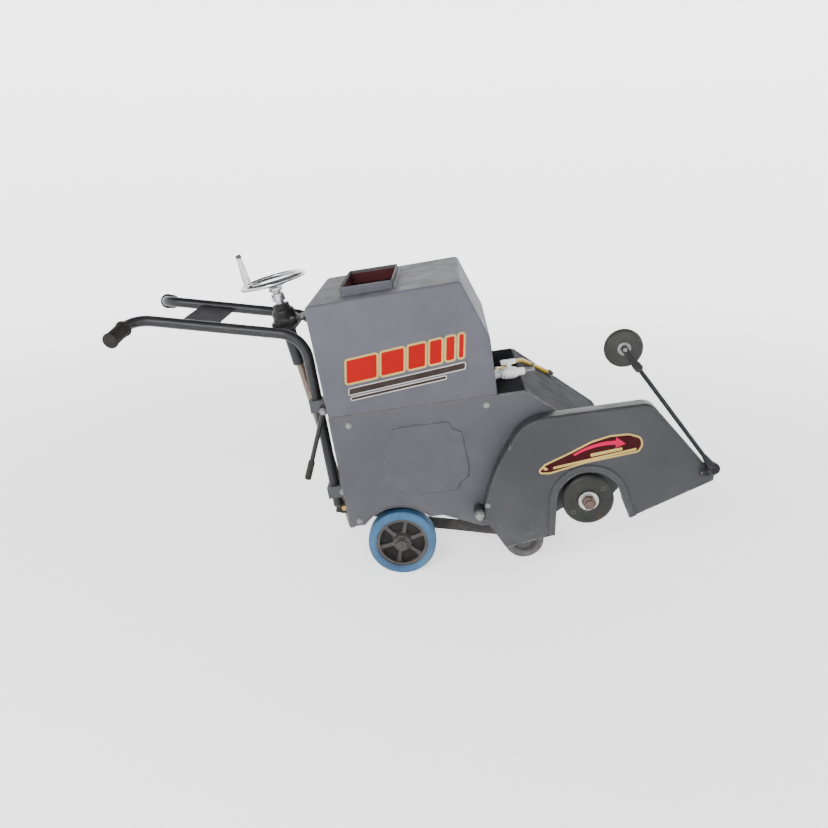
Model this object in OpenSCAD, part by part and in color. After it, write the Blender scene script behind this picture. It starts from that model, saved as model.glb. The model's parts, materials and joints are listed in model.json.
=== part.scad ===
// Walk-behind concrete saw, standing on its wheels with the blade shaft raised.
// The machine is laid out level, with the rear axle at the origin, +X forward,
// +Y to the operator's left and +Z up, and is then tipped nose-up by `pitch`.

/* [Stance] */
// Nose-up angle of the chassis with the blade shaft raised, degrees
pitch = 8; // [6:0.5:10]
// Distance along the ground between the rear and the front wheel centres
wheelbase = 365; // [350:1:370]

/* [Chassis] */
// Width over the chassis side plates
chassis_w = 458; // [450:1:470]
// Height of the seam between the chassis and the hood
seam_z = 415; // [405:1:425]
// Thickness of the chassis plates
plate_t = 4; // [3:0.5:5]
// Thickness of the hood sheets
hood_t = 2; // [1.5:0.5:3]
// Height of the top of the hood
hood_top = 735; // [725:1:745]

/* [Wheels] */
// Radius of the rear wheels
rear_r = 100; // [95:1:105]
// Width of the rear tyres
rear_w = 50; // [40:1:54]
// Radius of the front wheels
front_r = 60; // [50:1:62]
// Width of the front wheels
front_w = 36; // [30:1:40]

/* [Blade shaft] */
// Distance of the blade shaft in front of the rear axle
arbor_x = 538; // [534:1:542]
// Height of the blade shaft above the rear axle
arbor_z = 90; // [88:1:92]
// Radius of the seat that the blade core fits on
seat_r = 12.7; // [12.7:12.7:12.7]
// Width of the gap between the two flanges
seat_gap = 5; // [4:0.5:6]
// Radius of the flanges
flange_r = 71; // [60:1:75]

/* [Depth screw] */
// Backward lean of the screw, degrees from the chassis' upright
lean = 6.1; // [5.5:0.1:6.5]
// Radius of the handwheel to the middle of its rim
handwheel_r = 90; // [80:1:100]
// Height of the handwheel along the screw
handwheel_z = 783; // [775:1:790]

/* [Handlebars] */
// Radius of the handlebar tubes
bar_r = 15; // [13:0.5:17]
// Half of the distance between the two handlebar tubes
bar_y = 130; // [125:1:140]

/* [Hidden] */
$fn = 48;

// Middle of the machine's outer box, measured from the rear axle
middle_x = 42.2;
middle_y = -22.4;

side_y = chassis_w / 2;
inner_y = side_y - plate_t;
shell = [0.42, 0.42, 0.44];
black = [0.10, 0.10, 0.11];
steel = [0.66, 0.67, 0.69];
running = 0.05;
free_gap = 0.3;

// Front axle, brought from the ground's frame into the chassis' own
front_x = wheelbase * cos(pitch) - (rear_r - front_r) * sin(pitch);
front_z = -wheelbase * sin(pitch) - (rear_r - front_r) * cos(pitch);

// Lines of the chassis side, seen from the side
rear_x = -140;
floor_z = 78;
arch_r = 122;
hood_front = 330;
nose_top = 412;
nose_x = 408;
nose_tip = 650;
nose_low = 192;
nose_bottom = 112;
slope_deg = atan2(nose_top - nose_low, nose_tip - nose_x);

// Engine and belt drive
bed_z = 130;
bed_t = 6;
crank_x = 90;
crank_z = 242;
drive_r = 50;
driven_r = 70;
belt_y = [158, 172, 186];
belt_w = 12;
belt_t = 8;
crank_r = 12.7;
shaft_r = 15;

// Blade side, from the chassis outwards
flange_t = 8;
flange_y = -258;
guard_out = -285;
guard_in = -240;
guard_t = 3;
arch_open = 88;
pivot_x = 236;
pivot_z = 92;
pivot_r = 6;

// Wheel arm and screw
axle_r = 12.5;
front_axle_r = 8;
arm_y = 62;
arm_t = 8;
fork_y = 22;
nut_h = 18;
screw_r = 12;
screw_x = -178.7;
bracket_z = 646;
nut_z = 50 / cos(lean);
trunnion_r = 8;

// Pointer
knuckle_x = 873;
knuckle_z = 146;
wheel_px = 660;
wheel_pz = 515;
pointer_len = norm([wheel_px - knuckle_x, wheel_pz - knuckle_z]);
pointer_deg = atan2(wheel_pz - knuckle_z, wheel_px - knuckle_x);
pointer_y = -297;

// Handlebar: foot, first bend, elbow and grip end of the right tube
leg_x = -179;
bar_points = [
    [leg_x, -bar_y, 108], [leg_x, -bar_y, 632], [-640, -bar_y - 2, 749],
    [-662, -262, 724]
];

// ---------- helpers ----------

// The chassis' frame: tipped nose-up about the rear axle and stood on its wheels
module tilted() {
    translate([-middle_x, -middle_y, rear_r]) rotate([0, -pitch, 0]) children();
}

// The screw's frame: +Z up along the screw
module screw_frame() {
    tilted() translate([screw_x, 0, 0]) rotate([0, -lean, 0]) children();
}

// Flat plate with the given X,Z outline, from y0 to y1
module plate(points, y0, y1) {
    translate([0, y1, 0]) rotate([90, 0, 0]) linear_extrude(y1 - y0) polygon(points);
}

// Round bar across the machine, from y0 to y1
module across(x, z, r, y0, y1) {
    translate([x, y0, z]) rotate([-90, 0, 0]) cylinder(h = y1 - y0, r = r);
}

// Block between two opposite corners
module block(a, b) {
    translate(a) cube(b - a);
}

// n + 1 points on a circle of radius r round c, from angle a to angle b
function arc(c, r, a, b, n) =
    [for (i = [0:n]) c + r * [cos(a + (b - a) * i / n), sin(a + (b - a) * i / n)]];

// Points from p to q on an arc of radius r that swells to the left of the way
function swell(p, q, r, n) =
    let (
        mid = (p + q) / 2,
        half = norm(q - p) / 2,
        left = [p.y - q.y, q.x - p.x] / norm(q - p),
        c = mid - left * sqrt(r * r - half * half),
        a = atan2(p.y - c.y, p.x - c.x),
        turn = -2 * asin(half / r)
    )
    arc(c, r, a, a + turn, n);

function unit(v) = v / norm(v);

// Straight round bar from p to q
module bar(p, q, r) {
    d = q - p;
    tip = acos(d.z / norm(d));
    translate(p) rotate([0, tip, atan2(d.y, d.x)]) cylinder(h = norm(d), r = r);
}

// Corners of a path with each inner one rounded to the bend radius big[i - 1]
function rounded(p, big, n) = [
    for (i = [0:len(p) - 1])
        if (i == 0 || i == len(p) - 1) p[i]
        else
            let (
                u = unit(p[i] - p[i - 1]),
                v = unit(p[i + 1] - p[i]),
                turn = acos(u * v),
                inward = unit(v - (u * v) * u),
                s = p[i] - u * big[i - 1] * tan(turn / 2)
            )
            for (k = [0:n])
                let (a = turn * k / n)
                s + big[i - 1] * (sin(a) * u + (1 - cos(a)) * inward)
];

// Direction of a path at its point i
function heading(p, i) = unit(p[min(i + 1, len(p) - 1)] - p[max(i - 1, 0)]);

// A side direction for every point of a path, carried along without twist
function sides(p, i = 0, out = []) =
    i == len(p) ? out
    : let (
        t = heading(p, i),
        old = i == 0 ? [0.31, 0.87, 0.38] : out[i - 1]
    )
    sides(p, i + 1, concat(out, [unit(old - (old * t) * t)]));

// Closed tube of radius r with m sides along a path
module tube(p, r, m) {
    side = sides(p);
    rings = [
        for (i = [0:len(p) - 1])
            let (t = heading(p, i), w = cross(t, side[i]))
            for (k = [0:m - 1]) p[i] + r * (cos(360 * k / m) * side[i] + sin(360 * k / m) * w)
    ];
    last = (len(p) - 1) * m;
    walls = [
        for (i = [0:len(p) - 2], k = [0:m - 1])
            let (a = i * m + k, b = i * m + (k + 1) % m)
            [a, a + m, b + m, b]
    ];
    polyhedron(
        rings,
        concat([[for (k = [0:m - 1]) k]], walls, [[for (k = [m - 1:-1:0]) last + k]]),
        convexity = 6
    );
}

// Hexagon bolt head or nut, across the machine
module hex(x, z, r, y0, y1) {
    translate([x, y0, z]) rotate([-90, 0, 0]) cylinder(h = y1 - y0, r = r, $fn = 6);
}

// ---------- chassis ----------

// Outline of a chassis side: rear, seam, nose, then the wheel arch
chassis_outline = concat(
    [[rear_x, floor_z], [rear_x, seam_z], [hood_front, seam_z], [hood_front, nose_top],
     [nose_x, nose_top], [nose_tip, nose_low], [nose_tip, nose_bottom], [600, 62],
     [470, 52], [420, 26], [238, 29], [132, 78]],
    arc([0, 0], arch_r, 40, 140, 20)
);

module side_plate(y0, y1) {
    color(shell) tilted() difference() {
        plate(chassis_outline, y0, y1);
        across(arbor_x, arbor_z, shaft_r + 8, y0 - 1, y1 + 1);
    }
}

module side_plate_right() { side_plate(-side_y, -inner_y); }

module side_plate_left() { side_plate(inner_y, side_y); }

module rear_plate() {
    color(shell) tilted()
        block([rear_x, -inner_y, floor_z], [rear_x + plate_t, inner_y, seam_z]);
}

// The engine's floor, slotted on the left for the belts
module engine_bed() {
    color(shell) tilted() difference() {
        block([rear_x + plate_t, -inner_y, bed_z], [hood_front, inner_y, bed_z + bed_t]);
        block([150, 146, bed_z - 1], [hood_front + 1, 206, bed_z + bed_t + 1]);
    }
}

// The blade shaft's bearings hang under this plate
module spindle_bed() {
    color(shell) tilted() difference() {
        block([440, -inner_y, 134], [nose_tip - plate_t, inner_y, 140]);
        block([439, 146, 133], [625, 206, 141]);
    }
}

// Bent sheet: the flat deck, the slope and the front
module nose_deck() {
    t = plate_t;
    k = t * tan(slope_deg / 2);
    color(shell) tilted() plate([
        [hood_front, nose_top], [nose_x, nose_top], [nose_tip, nose_low],
        [nose_tip, nose_bottom + 8], [nose_tip - t, nose_bottom + 8],
        [nose_tip - t, nose_low - k], [nose_x - k, nose_top - t],
        [hood_front, nose_top - t]
    ], -inner_y, inner_y);
}

module axle_hangers() {
    color(shell) tilted() for (y = [-153, 147]) difference() {
        plate([[-70, bed_z], [70, bed_z], [30, -8], [12, -26], [-12, -26], [-30, -8]],
            y, y + 6);
        across(0, 0, axle_r, y - 1, y + 7);
    }
}

module rear_axle() {
    color(steel) tilted() across(0, 0, axle_r, -226, 226);
}

// Washer and nut on each end of the rear axle
module axle_caps() {
    color(steel) tilted() for (side = [-1, 1]) {
        y = side > 0 ? 221.5 : -225.5;
        difference() {
            union() {
                across(0, 0, 19, y, y + 4);
                hex(0, 0, 17, side > 0 ? 225.5 : -235.5, side > 0 ? 235.5 : -225.5);
            }
            across(0, 0, axle_r, -227, 227);
        }
    }
}

// ---------- hood ----------

hood_outline = [
    [rear_x, seam_z], [hood_front, seam_z], [hood_front, 574], [272, hood_top],
    [-146, hood_top - 7]
];
filler = [[-54, -150], [90, 130]];

// One bent sheet: front, slope, top and rear
module hood_wrap() {
    t = hood_t;
    skin = side_y - t;
    color(shell) tilted() difference() {
        plate(hood_outline, -skin, skin);
        plate([
            [rear_x + t, seam_z - 1], [hood_front - t, seam_z - 1],
            [hood_front - t, 574], [272 - t, hood_top - t], [-144, hood_top - 7 - t]
        ], -skin - 1, skin + 1);
        block([filler[0].x, filler[0].y, 700], [filler[1].x, filler[1].y, 760]);
    }
}

module hood_side_right() {
    color(shell) tilted() plate(hood_outline, -side_y, -side_y + hood_t);
}

// The left side has cooling slots
module hood_side_left() {
    color(shell) tilted() difference() {
        plate(hood_outline, side_y - hood_t, side_y);
        for (i = [0:6])
            block([-60, side_y - 5, 470 + 26 * i], [80, side_y + 1, 478 + 26 * i]);
    }
}

// Raised lip round the filler opening
module hood_collar() {
    a = filler[0];
    b = filler[1];
    color(shell) tilted() difference() {
        block([a.x - 2, a.y - 2, 724], [b.x + 2, b.y + 2, 753]);
        block([a.x, a.y, 720], [b.x, b.y, 760]);
        plate(hood_outline, -200, 200);
    }
}

// ---------- engine ----------

module engine_block() {
    color(black) tilted() difference() {
        union() {
            block([0, -120, bed_z + bed_t], [190, 108, 330]);
            block([-34, -110, bed_z + bed_t], [224, 96, bed_z + bed_t + 12]);
            translate([crank_x, -10, crank_z]) rotate([0, 60, 0]) {
                cylinder(h = 150, r = 50);
                for (i = [0:5]) translate([0, 0, 84 + 11 * i]) cylinder(h = 4, r = 66);
            }
        }
        across(crank_x, crank_z, crank_r + running, -121, 109);
        across(crank_x, crank_z, 40, -101, 100);
    }
}

module cylinder_head() {
    color([0.3, 0.3, 0.32]) tilted()
        translate([crank_x, -10, crank_z]) rotate([0, 60, 0]) {
            translate([-58, -62, 150]) cube([116, 124, 44]);
            translate([-44, -50, 194]) cube([88, 100, 26]);
        }
}

module recoil_cover() {
    color(black) tilted() difference() {
        union() {
            across(crank_x, crank_z, 105, -168, -120);
            across(crank_x, crank_z, 62, -192, -168);
        }
        across(crank_x, crank_z, 100, -164, -119);
    }
}

// Outline of a box with round corners of radius r, seen from above
function round_box(a, b, r) = concat(
    arc([b.x - r, b.y - r], r, 0, 90, 6), arc([a.x + r, b.y - r], r, 90, 180, 6),
    arc([a.x + r, a.y + r], r, 180, 270, 6), arc([b.x - r, a.y + r], r, 270, 360, 6)
);

module fuel_tank() {
    color([0.45, 0.08, 0.08]) tilted() union() {
        translate([0, 0, 566]) linear_extrude(114)
            polygon(round_box([-94, -174], [194, 154], 34));
        translate([0, 0, 680]) linear_extrude(12)
            polygon(round_box([-84, -164], [184, 144], 30));
        translate([18, -10, 692]) cylinder(h = 12, r = 24);
    }
}

module fuel_cap() {
    color(black) tilted() translate([18, -10, 704.3]) {
        cylinder(h = 14, r = 31);
        for (a = [0:30:330]) rotate([0, 0, a]) translate([30, 0, 0]) cylinder(h = 14, r = 3);
    }
}

module muffler() {
    color([0.35, 0.33, 0.32]) tilted() {
        block([-110, -60, 350], [-10, 110, 460]);
        bar([-20, 20, 380], [30, 20, 380], 12);
        bar([30, 20, 392], [30, 20, 331], 12);
    }
}

module air_cleaner() {
    color(black) tilted() {
        block([40, -170, 400], [190, -40, 520]);
        bar([100, -60, 420], [100, -60, 331], 22);
    }
}

module crankshaft() {
    color(steel) tilted() union() {
        across(crank_x, crank_z, crank_r, -158, 204);
        across(crank_x, crank_z, 34, -96, 92);
    }
}

// Flywheel with fan blades, inside the recoil cover
module flywheel() {
    color([0.5, 0.5, 0.52]) tilted() difference() {
        union() {
            across(crank_x, crank_z, 92, -136, -128);
            across(crank_x, crank_z, 30, -158, -128);
            for (a = [0:30:330]) translate([crank_x, -154, crank_z]) rotate([0, a, 0])
                translate([52, 0, -2]) cube([36, 20, 4]);
        }
        across(crank_x, crank_z, crank_r, -159, -127);
    }
}

// Grooved pulley of running radius r, from y 150 to 194
module pulley(x, z, r, bore) {
    difference() {
        across(x, z, r + 4, 150, 194);
        for (y = belt_y) difference() {
            across(x, z, r + 5, y - belt_w / 2 - free_gap, y + belt_w / 2 + free_gap);
            across(x, z, r - belt_t / 2 - free_gap, y - belt_w, y + belt_w);
        }
        across(x, z, bore, 149, 195);
    }
}

module drive_pulley() { color(black) tilted() pulley(crank_x, crank_z, drive_r, crank_r); }

module driven_pulley() { color(black) tilted() pulley(arbor_x, arbor_z, driven_r, shaft_r); }

// Outline of a belt wrapped round both pulleys, at distance d from the running line
function belt_line(d) =
    let (
        run = [arbor_x - crank_x, arbor_z - crank_z],
        way = atan2(run.y, run.x),
        half = acos((drive_r - driven_r) / norm(run))
    )
    concat(
        arc([crank_x, crank_z], drive_r + d, way + half, way + 360 - half, 40),
        arc([arbor_x, arbor_z], driven_r + d, way - half, way + half, 40)
    );

module drive_belts() {
    color(black) tilted() for (y = belt_y) difference() {
        plate(belt_line(belt_t / 2), y - belt_w / 2, y + belt_w / 2);
        plate(belt_line(-belt_t / 2), y - belt_w, y + belt_w);
    }
}

// ---------- blade shaft ----------

module pillow_blocks() {
    color([0.2, 0.3, 0.28]) tilted() for (y = [-206, 100]) difference() {
        union() {
            block([arbor_x - 76, y, 118], [arbor_x + 76, y + 36, 134]);
            across(arbor_x, arbor_z, 42, y, y + 36);
            block([arbor_x - 42, y, arbor_z], [arbor_x + 42, y + 36, 120]);
        }
        across(arbor_x, arbor_z, shaft_r + running, y - 1, y + 37);
    }
}

seat_y = flange_y - flange_t;

module blade_shaft() {
    color(steel) tilted() union() {
        across(arbor_x, arbor_z, shaft_r, flange_y, 200);
        across(arbor_x, arbor_z, 13.5, seat_y, flange_y);
        across(arbor_x, arbor_z, seat_r, seat_y - seat_gap, seat_y);
        across(arbor_x, arbor_z, 12, -308, seat_y - seat_gap);
    }
}

module inner_flange() {
    color([0.16, 0.2, 0.18]) tilted() difference() {
        union() {
            across(arbor_x, arbor_z, flange_r, seat_y, flange_y);
            across(arbor_x, arbor_z, 30, flange_y, flange_y + 16);
        }
        across(arbor_x, arbor_z, 13.5, seat_y - 1, flange_y + 0.001);
        across(arbor_x, arbor_z, shaft_r, flange_y, flange_y + 17);
    }
}

module outer_flange() {
    out = seat_y - seat_gap;
    color([0.16, 0.2, 0.18]) tilted() difference() {
        across(arbor_x, arbor_z, flange_r, out - flange_t, out);
        across(arbor_x, arbor_z, 12 + running, out - flange_t - 1, out + 1);
    }
}

module arbor_nut() {
    out = seat_y - seat_gap - flange_t;
    color(steel) tilted() difference() {
        union() {
            across(arbor_x, arbor_z, 29, out - 4, out);
            hex(arbor_x, arbor_z, 22, out - 22, out - 4);
        }
        across(arbor_x, arbor_z, 12 + running, out - 23, out + 1);
    }
}

// ---------- rear wheels ----------

wheel_mid = 195;

module tyre(mid) {
    tilted() difference() {
        union() {
            across(0, 0, rear_r, mid - rear_w / 2 + 6, mid + rear_w / 2 - 6);
            for (s = [0, 1]) translate([0, mid, 0]) mirror([0, s, 0])
                translate([0, rear_w / 2 - 6, 0]) rotate([-90, 0, 0])
                    cylinder(h = 6, r1 = rear_r, r2 = rear_r - 6);
        }
        across(0, 0, 76, mid - rear_w, mid + rear_w);
    }
}

// Spoked cast hub with a bore for the axle
module hub(mid) {
    tilted() difference() {
        union() {
            difference() {
                across(0, 0, 76, mid - 20, mid + 20);
                across(0, 0, 66, mid - 21, mid + 21);
            }
            across(0, 0, 26, mid - 26, mid + 26);
            for (a = [0:60:300]) translate([0, mid, 0]) rotate([0, a, 0])
                translate([22, -9, -8]) cube([47, 18, 16]);
        }
        across(0, 0, axle_r + running, mid - 27, mid + 27);
    }
}

module rear_tyre_right() { color([0.3, 0.5, 0.72]) tyre(-wheel_mid); }

module rear_tyre_left() { color([0.3, 0.5, 0.72]) tyre(wheel_mid); }

module rear_hub_right() { color(black) hub(-wheel_mid); }

module rear_hub_left() { color(black) hub(wheel_mid); }

// ---------- wheel arm and front wheels ----------

// Slot in the rear fork, which gives the nut's pins room along the arm
pin = [screw_x - nut_z * sin(lean), nut_z * cos(lean)];
pin_deg = atan2(pin.y, pin.x);
pin_reach = norm(pin);

module wheel_arm() {
    front = [front_x, front_z];
    fall = atan2(front.y, front.x);
    long = norm(front);
    color(black) tilted() difference() {
        union() {
            across(0, 0, 20, -108, 108);
            for (s = [-1, 1]) {
                y = s > 0 ? arm_y : -arm_y - arm_t;
                rotate([0, -fall, 0]) block([0, y, -17], [long, y + arm_t, 17]);
                across(front_x, front_z, 22, y, y + arm_t);
            }
            rotate([0, -fall, 0]) across(long * 0.6, 0, 14, -arm_y, arm_y);
            for (s = [-1, 1]) {
                y = s > 0 ? fork_y : -fork_y - arm_t;
                rotate([0, -pin_deg, 0])
                    block([0, y, -19], [pin_reach + 26, y + arm_t, 19]);
            }
        }
        across(0, 0, axle_r + running, -109, 109);
        across(front_x, front_z, front_axle_r, -80, 80);
        rotate([0, -pin_deg, 0])
            block([pin_reach - 24, -40, -trunnion_r - 1.8], [pin_reach + 12, 40, trunnion_r + 1.8]);
    }
}

module front_axle() {
    color(steel) tilted() {
        across(front_x, front_z, front_axle_r, -132, 132);
        for (y = [-138, 132]) hex(front_x, front_z, 13, y, y + 6);
    }
}

module front_wheel(mid) {
    color([0.14, 0.14, 0.15]) tilted() difference() {
        union() {
            across(front_x, front_z, front_r, mid - front_w / 2 + 4, mid + front_w / 2 - 4);
            across(front_x, front_z, front_r - 4, mid - front_w / 2, mid + front_w / 2);
            across(front_x, front_z, 20, mid - front_w / 2 - 4, mid + front_w / 2 + 4);
        }
        across(front_x, front_z, front_axle_r + running, mid - 30, mid + 30);
    }
}

module front_wheel_right() { front_wheel(-106); }

module front_wheel_left() { front_wheel(106); }

// ---------- depth screw ----------

module depth_screw() {
    color(steel) screw_frame() {
        translate([0, 0, -34]) cylinder(h = 34 + bracket_z + 12, r = screw_r);
        translate([0, 0, bracket_z + 12]) cylinder(h = 768 - bracket_z - 12, r = 12.5);
        translate([0, 0, 722]) cylinder(h = 22, r = 19);
    }
}

module handwheel() {
    color([0.85, 0.86, 0.88]) screw_frame() translate([0, 0, handwheel_z]) {
        difference() {
            translate([0, 0, -32]) cylinder(h = 30, r = 20);
            translate([0, 0, -33]) cylinder(h = 18, r = 12.5);
        }
        rotate_extrude() translate([handwheel_r, 0]) circle(r = 8);
        for (a = [30, 150, 270]) rotate([0, 0, a]) bar([14, 0, -16], [handwheel_r, 0, 0], 6);
        rotate([0, 0, crank_deg]) translate([handwheel_r, 0, 0]) cylinder(h = 66, r = 4);
    }
}

crank_deg = 232;

// Turning handle that stands on the rim
module crank_handle() {
    color([0.85, 0.86, 0.88]) screw_frame()
        rotate([0, 0, crank_deg]) translate([handwheel_r, 0, handwheel_z + 8.3])
            difference() {
                union() {
                    cylinder(h = 84, r1 = 12, r2 = 7.5);
                    translate([0, 0, 84]) cylinder(h = 8, r = 8);
                }
                translate([0, 0, -1]) cylinder(h = 60, r = 4 + running);
            }
}

module screw_nut() {
    color([0.7, 0.6, 0.3]) screw_frame() translate([0, 0, nut_z]) difference() {
        union() {
            translate([-nut_h, -nut_h, -24]) cube([2 * nut_h, 2 * nut_h, 48]);
            rotate([90, 0, 0]) cylinder(h = 72, r = trunnion_r, center = true);
        }
        translate([0, 0, -50]) cylinder(h = 100, r = screw_r + running);
    }
}

// Plate between the handlebar tubes
module column_bracket() {
    w = bar_y - bar_r;
    color(black) screw_frame() translate([0, 0, bracket_z]) difference() {
        translate([-42, -w, 0]) cube([84, 2 * w, 8]);
        translate([0, 0, -1]) cylinder(h = 10, r = 14);
    }
}

module column_bearing() {
    color(black) screw_frame() translate([0, 0, bracket_z + 8]) difference() {
        union() {
            translate([-38, -38, 0]) cube([76, 76, 12]);
            cylinder(h = 44, r = 34);
            cylinder(h = 60, r = 24);
        }
        translate([0, 0, 12]) cylinder(h = 50, r = 12.5 + running);
        translate([0, 0, -1]) cylinder(h = 14, r = 13.5);
    }
}

module column_tube() {
    color(black) screw_frame() translate([0, 0, bracket_z - 120]) difference() {
        cylinder(h = 120, r = 20);
        translate([0, 0, -1]) cylinder(h = 122, r = 14);
    }
}

// ---------- handlebars ----------

module handlebar() { tube(rounded(bar_points, [85, 55], 8), bar_r, 16); }

module handlebar_right() { color(black) tilted() handlebar(); }

module handlebar_left() { color(black) tilted() mirror([0, 1, 0]) handlebar(); }

// Grip over the last stretch of the right tube
module grip() {
    a = bar_points[2];
    b = bar_points[3];
    d = unit(b - a);
    difference() {
        union() {
            bar(b - d * 72, b + d * 4, 20);
            bar(b - d * 76, b - d * 70, 23);
            bar(b - d * 2, b + d * 6, 22);
        }
        bar(b - d * 80, b, bar_r);
    }
}

module grip_right() { color(black) tilted() grip(); }

module grip_left() { color(black) tilted() mirror([0, 1, 0]) grip(); }

// Sheet between the two tubes
module handlebar_plate() {
    a = bar_points[1];
    u = unit(bar_points[2] - a);
    n = [-u.z, u.x];
    p = [a.x, a.z] + [u.x, u.z] * 250;
    q = [a.x, a.z] + [u.x, u.z] * 355;
    color(shell) tilted() difference() {
        plate([p - n * 1.5, q - n * 1.5, q + n * 1.5, p + n * 1.5], -bar_y, bar_y);
        for (s = [0, 1]) mirror([0, s, 0]) bar(bar_points[1], bar_points[2], bar_r);
    }
}

// Clamps that hold the two legs to the rear plate
module leg_clamps() {
    color(shell) tilted() for (s = [-1, 1], z = [140, 410]) difference() {
        block([leg_x - 21, s * bar_y - 22, z], [rear_x, s * bar_y + 22, z + 36]);
        translate([leg_x, s * bar_y, z - 1]) cylinder(h = 38, r = bar_r);
        across(-155, z + 18, 5, s * bar_y - 23, s * bar_y + 23);
        translate([-0.3, 0, 0]) plate(hood_outline, -200, 200);
    }
}

// Lever on the upper right clamp bolt
module clamp_lever() {
    color(black) tilted() difference() {
        union() {
            across(-155, 428, 14, -196, -180);
            bar([-155, -188, 428], [-239, -188, 232], 7);
            bar([-218, -188, 281], [-240.5, -188, 228.5], 10);
        }
        across(-155, 428, 5 + running, -197, -179);
    }
}

// ---------- water ----------

module water_valve() {
    color([0.9, 0.9, 0.9]) tilted() {
        bar([hood_front, -100, 432], [418, -100, 432], 11);
        bar([352, -100, 432], [396, -100, 432], 17);
        bar([374, -100, 440], [374, -100, 456], 9);
        bar([418, -100, 432], [446, -100, 432], 8);
        bar([340, -100, 432], [340, -76, 432], 8);
    }
}

module valve_handle() {
    color([0.9, 0.9, 0.9]) tilted() {
        translate([374, -100, 456.3]) cylinder(h = 8, r = 9);
        block([352, -105, 458], [396, -95, 472]);
    }
}

// Everything under the deck and the slope, seen from the side
nose_outline = [
    [hood_front, 200], [hood_front, nose_top], [nose_x, nose_top],
    [nose_x + 180, nose_top - 180 * tan(slope_deg)]
];

// Height of the hose's middle where it lies on the slope at x
hose_r = 6;
function on_slope(x) =
    nose_top - (x - nose_x) * tan(slope_deg) + (hose_r + free_gap) / cos(slope_deg);

// The hose lifts a little where it passes over the corner of the deck
hose_points = [
    [340, -76, 432], [340, -40, 432], [356, -8, nose_top + 8.6], [398, 44, nose_top + 10.6],
    [424, 84, on_slope(424) + 6.8], [488, 182, on_slope(488)], [516, 196, on_slope(516)]
];

module water_hose() {
    color([0.85, 0.7, 0.15]) tilted()
        tube(rounded(hose_points, [24, 28, 60, 60, 40], 4), hose_r, 8);
}

// Saddle clips over the hose, and the elbow where it goes inside
module hose_clips() {
    color(black) tilted() {
        for (i = [3, 5]) {
            p = hose_points[i];
            q = hose_points[i - 1];
            c = (p + q) / 2;
            d = unit(q - p);
            difference() {
                bar(c - d * 6, c + d * 6, hose_r + 4);
                bar(c - d * 7, c + d * 7, hose_r);
                plate(nose_outline, -200, 220);
            }
        }
        c = hose_points[6];
        n = [sin(slope_deg), 0, cos(slope_deg)];
        difference() {
            bar(c - n * (hose_r + free_gap), c + n * 10, 11);
            bar(hose_points[5], c, hose_r);
        }
    }
}

// ---------- fasteners ----------

module frame_bolts() {
    color(steel) tilted() {
        for (p = [[296, 390], [-87, 386], [-108, 94], [235, 54]], s = [-1, 1])
            hex(p.x, p.y, 8, s > 0 ? side_y : -side_y - 6, s > 0 ? side_y + 6 : -side_y);
        across(pivot_x, pivot_z, pivot_r, -292, -side_y);
        hex(pivot_x, pivot_z, 11, -299, -292);
        across(-155, 428, 5, -202, -108);
        hex(-155, 428, 9, -208, -202);
        for (x = [-17, 207], y = [-98, 84])
            translate([x, y, bed_z + bed_t + 12]) cylinder(h = 8, r = 8, $fn = 6);
    }
}

// ---------- blade guard ----------

function guard_outline(t) = concat(
    swell([244 + t, 73], [343 + t, 287 - t], 500, 10),
    arc([445, 238], 112 - t, 155, 90, 10),
    arc([702, 306], 44 - t, 90, 38, 8),
    [[881 - t * 2, 118]]
);

module blade_guard() {
    color(shell) tilted() difference() {
        union() {
            plate(concat(guard_outline(0), [[878, 108], [643, 27], [437, 2], [296, -18]]),
                guard_out, guard_in);
            across(pivot_x, pivot_z, 15, guard_out, guard_in);
        }
        plate(concat(guard_outline(guard_t), [[872, 60], [643, -40], [296, -60]]),
            guard_out + guard_t, guard_in + 1);
        plate(concat(
            arc([arbor_x, arbor_z], arch_open, 0, 180, 24),
            [[437, 2], [430, -60], [650, -60], [643, 27]]
        ), guard_out - 1, guard_out + guard_t + 1);
        across(pivot_x, pivot_z, pivot_r + running, guard_out - 1, guard_in + 1);
    }
    color(black) tilted() {
        block([838, guard_out - 4, 122], [889, guard_out, 166]);
        across(knuckle_x, knuckle_z, 8, pointer_y - 9, guard_out - 4);
        across(knuckle_x, knuckle_z, 12, pointer_y - 12, pointer_y - 7.3);
    }
}

// ---------- pointer ----------

module pointer_arm() {
    tip = pointer_len - 64;
    color(black) tilted() translate([knuckle_x, pointer_y, knuckle_z])
        rotate([0, -pointer_deg, 0]) difference() {
            union() {
                across(0, 0, 17, -7, 7);
                bar([0, 0, 0], [tip, 0, 0], 6);
                block([tip - 4, -19, -12], [tip + 4, 19, 12]);
                for (y = [-19, 15]) block([tip, y, -9], [pointer_len + 10, y + 4, 9]);
                across(pointer_len, 0, 5, -21, 21);
            }
            across(0, 0, 8 + running, -8, 8);
        }
}

module pointer_wheel() {
    color([0.2, 0.2, 0.21]) tilted() difference() {
        union() {
            across(wheel_px, wheel_pz, 50, pointer_y - 11, pointer_y + 11);
            across(wheel_px, wheel_pz, 16, pointer_y - 13.5, pointer_y + 13.5);
        }
        across(wheel_px, wheel_pz, 5 + running, pointer_y - 14, pointer_y + 14);
    }
}

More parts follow.
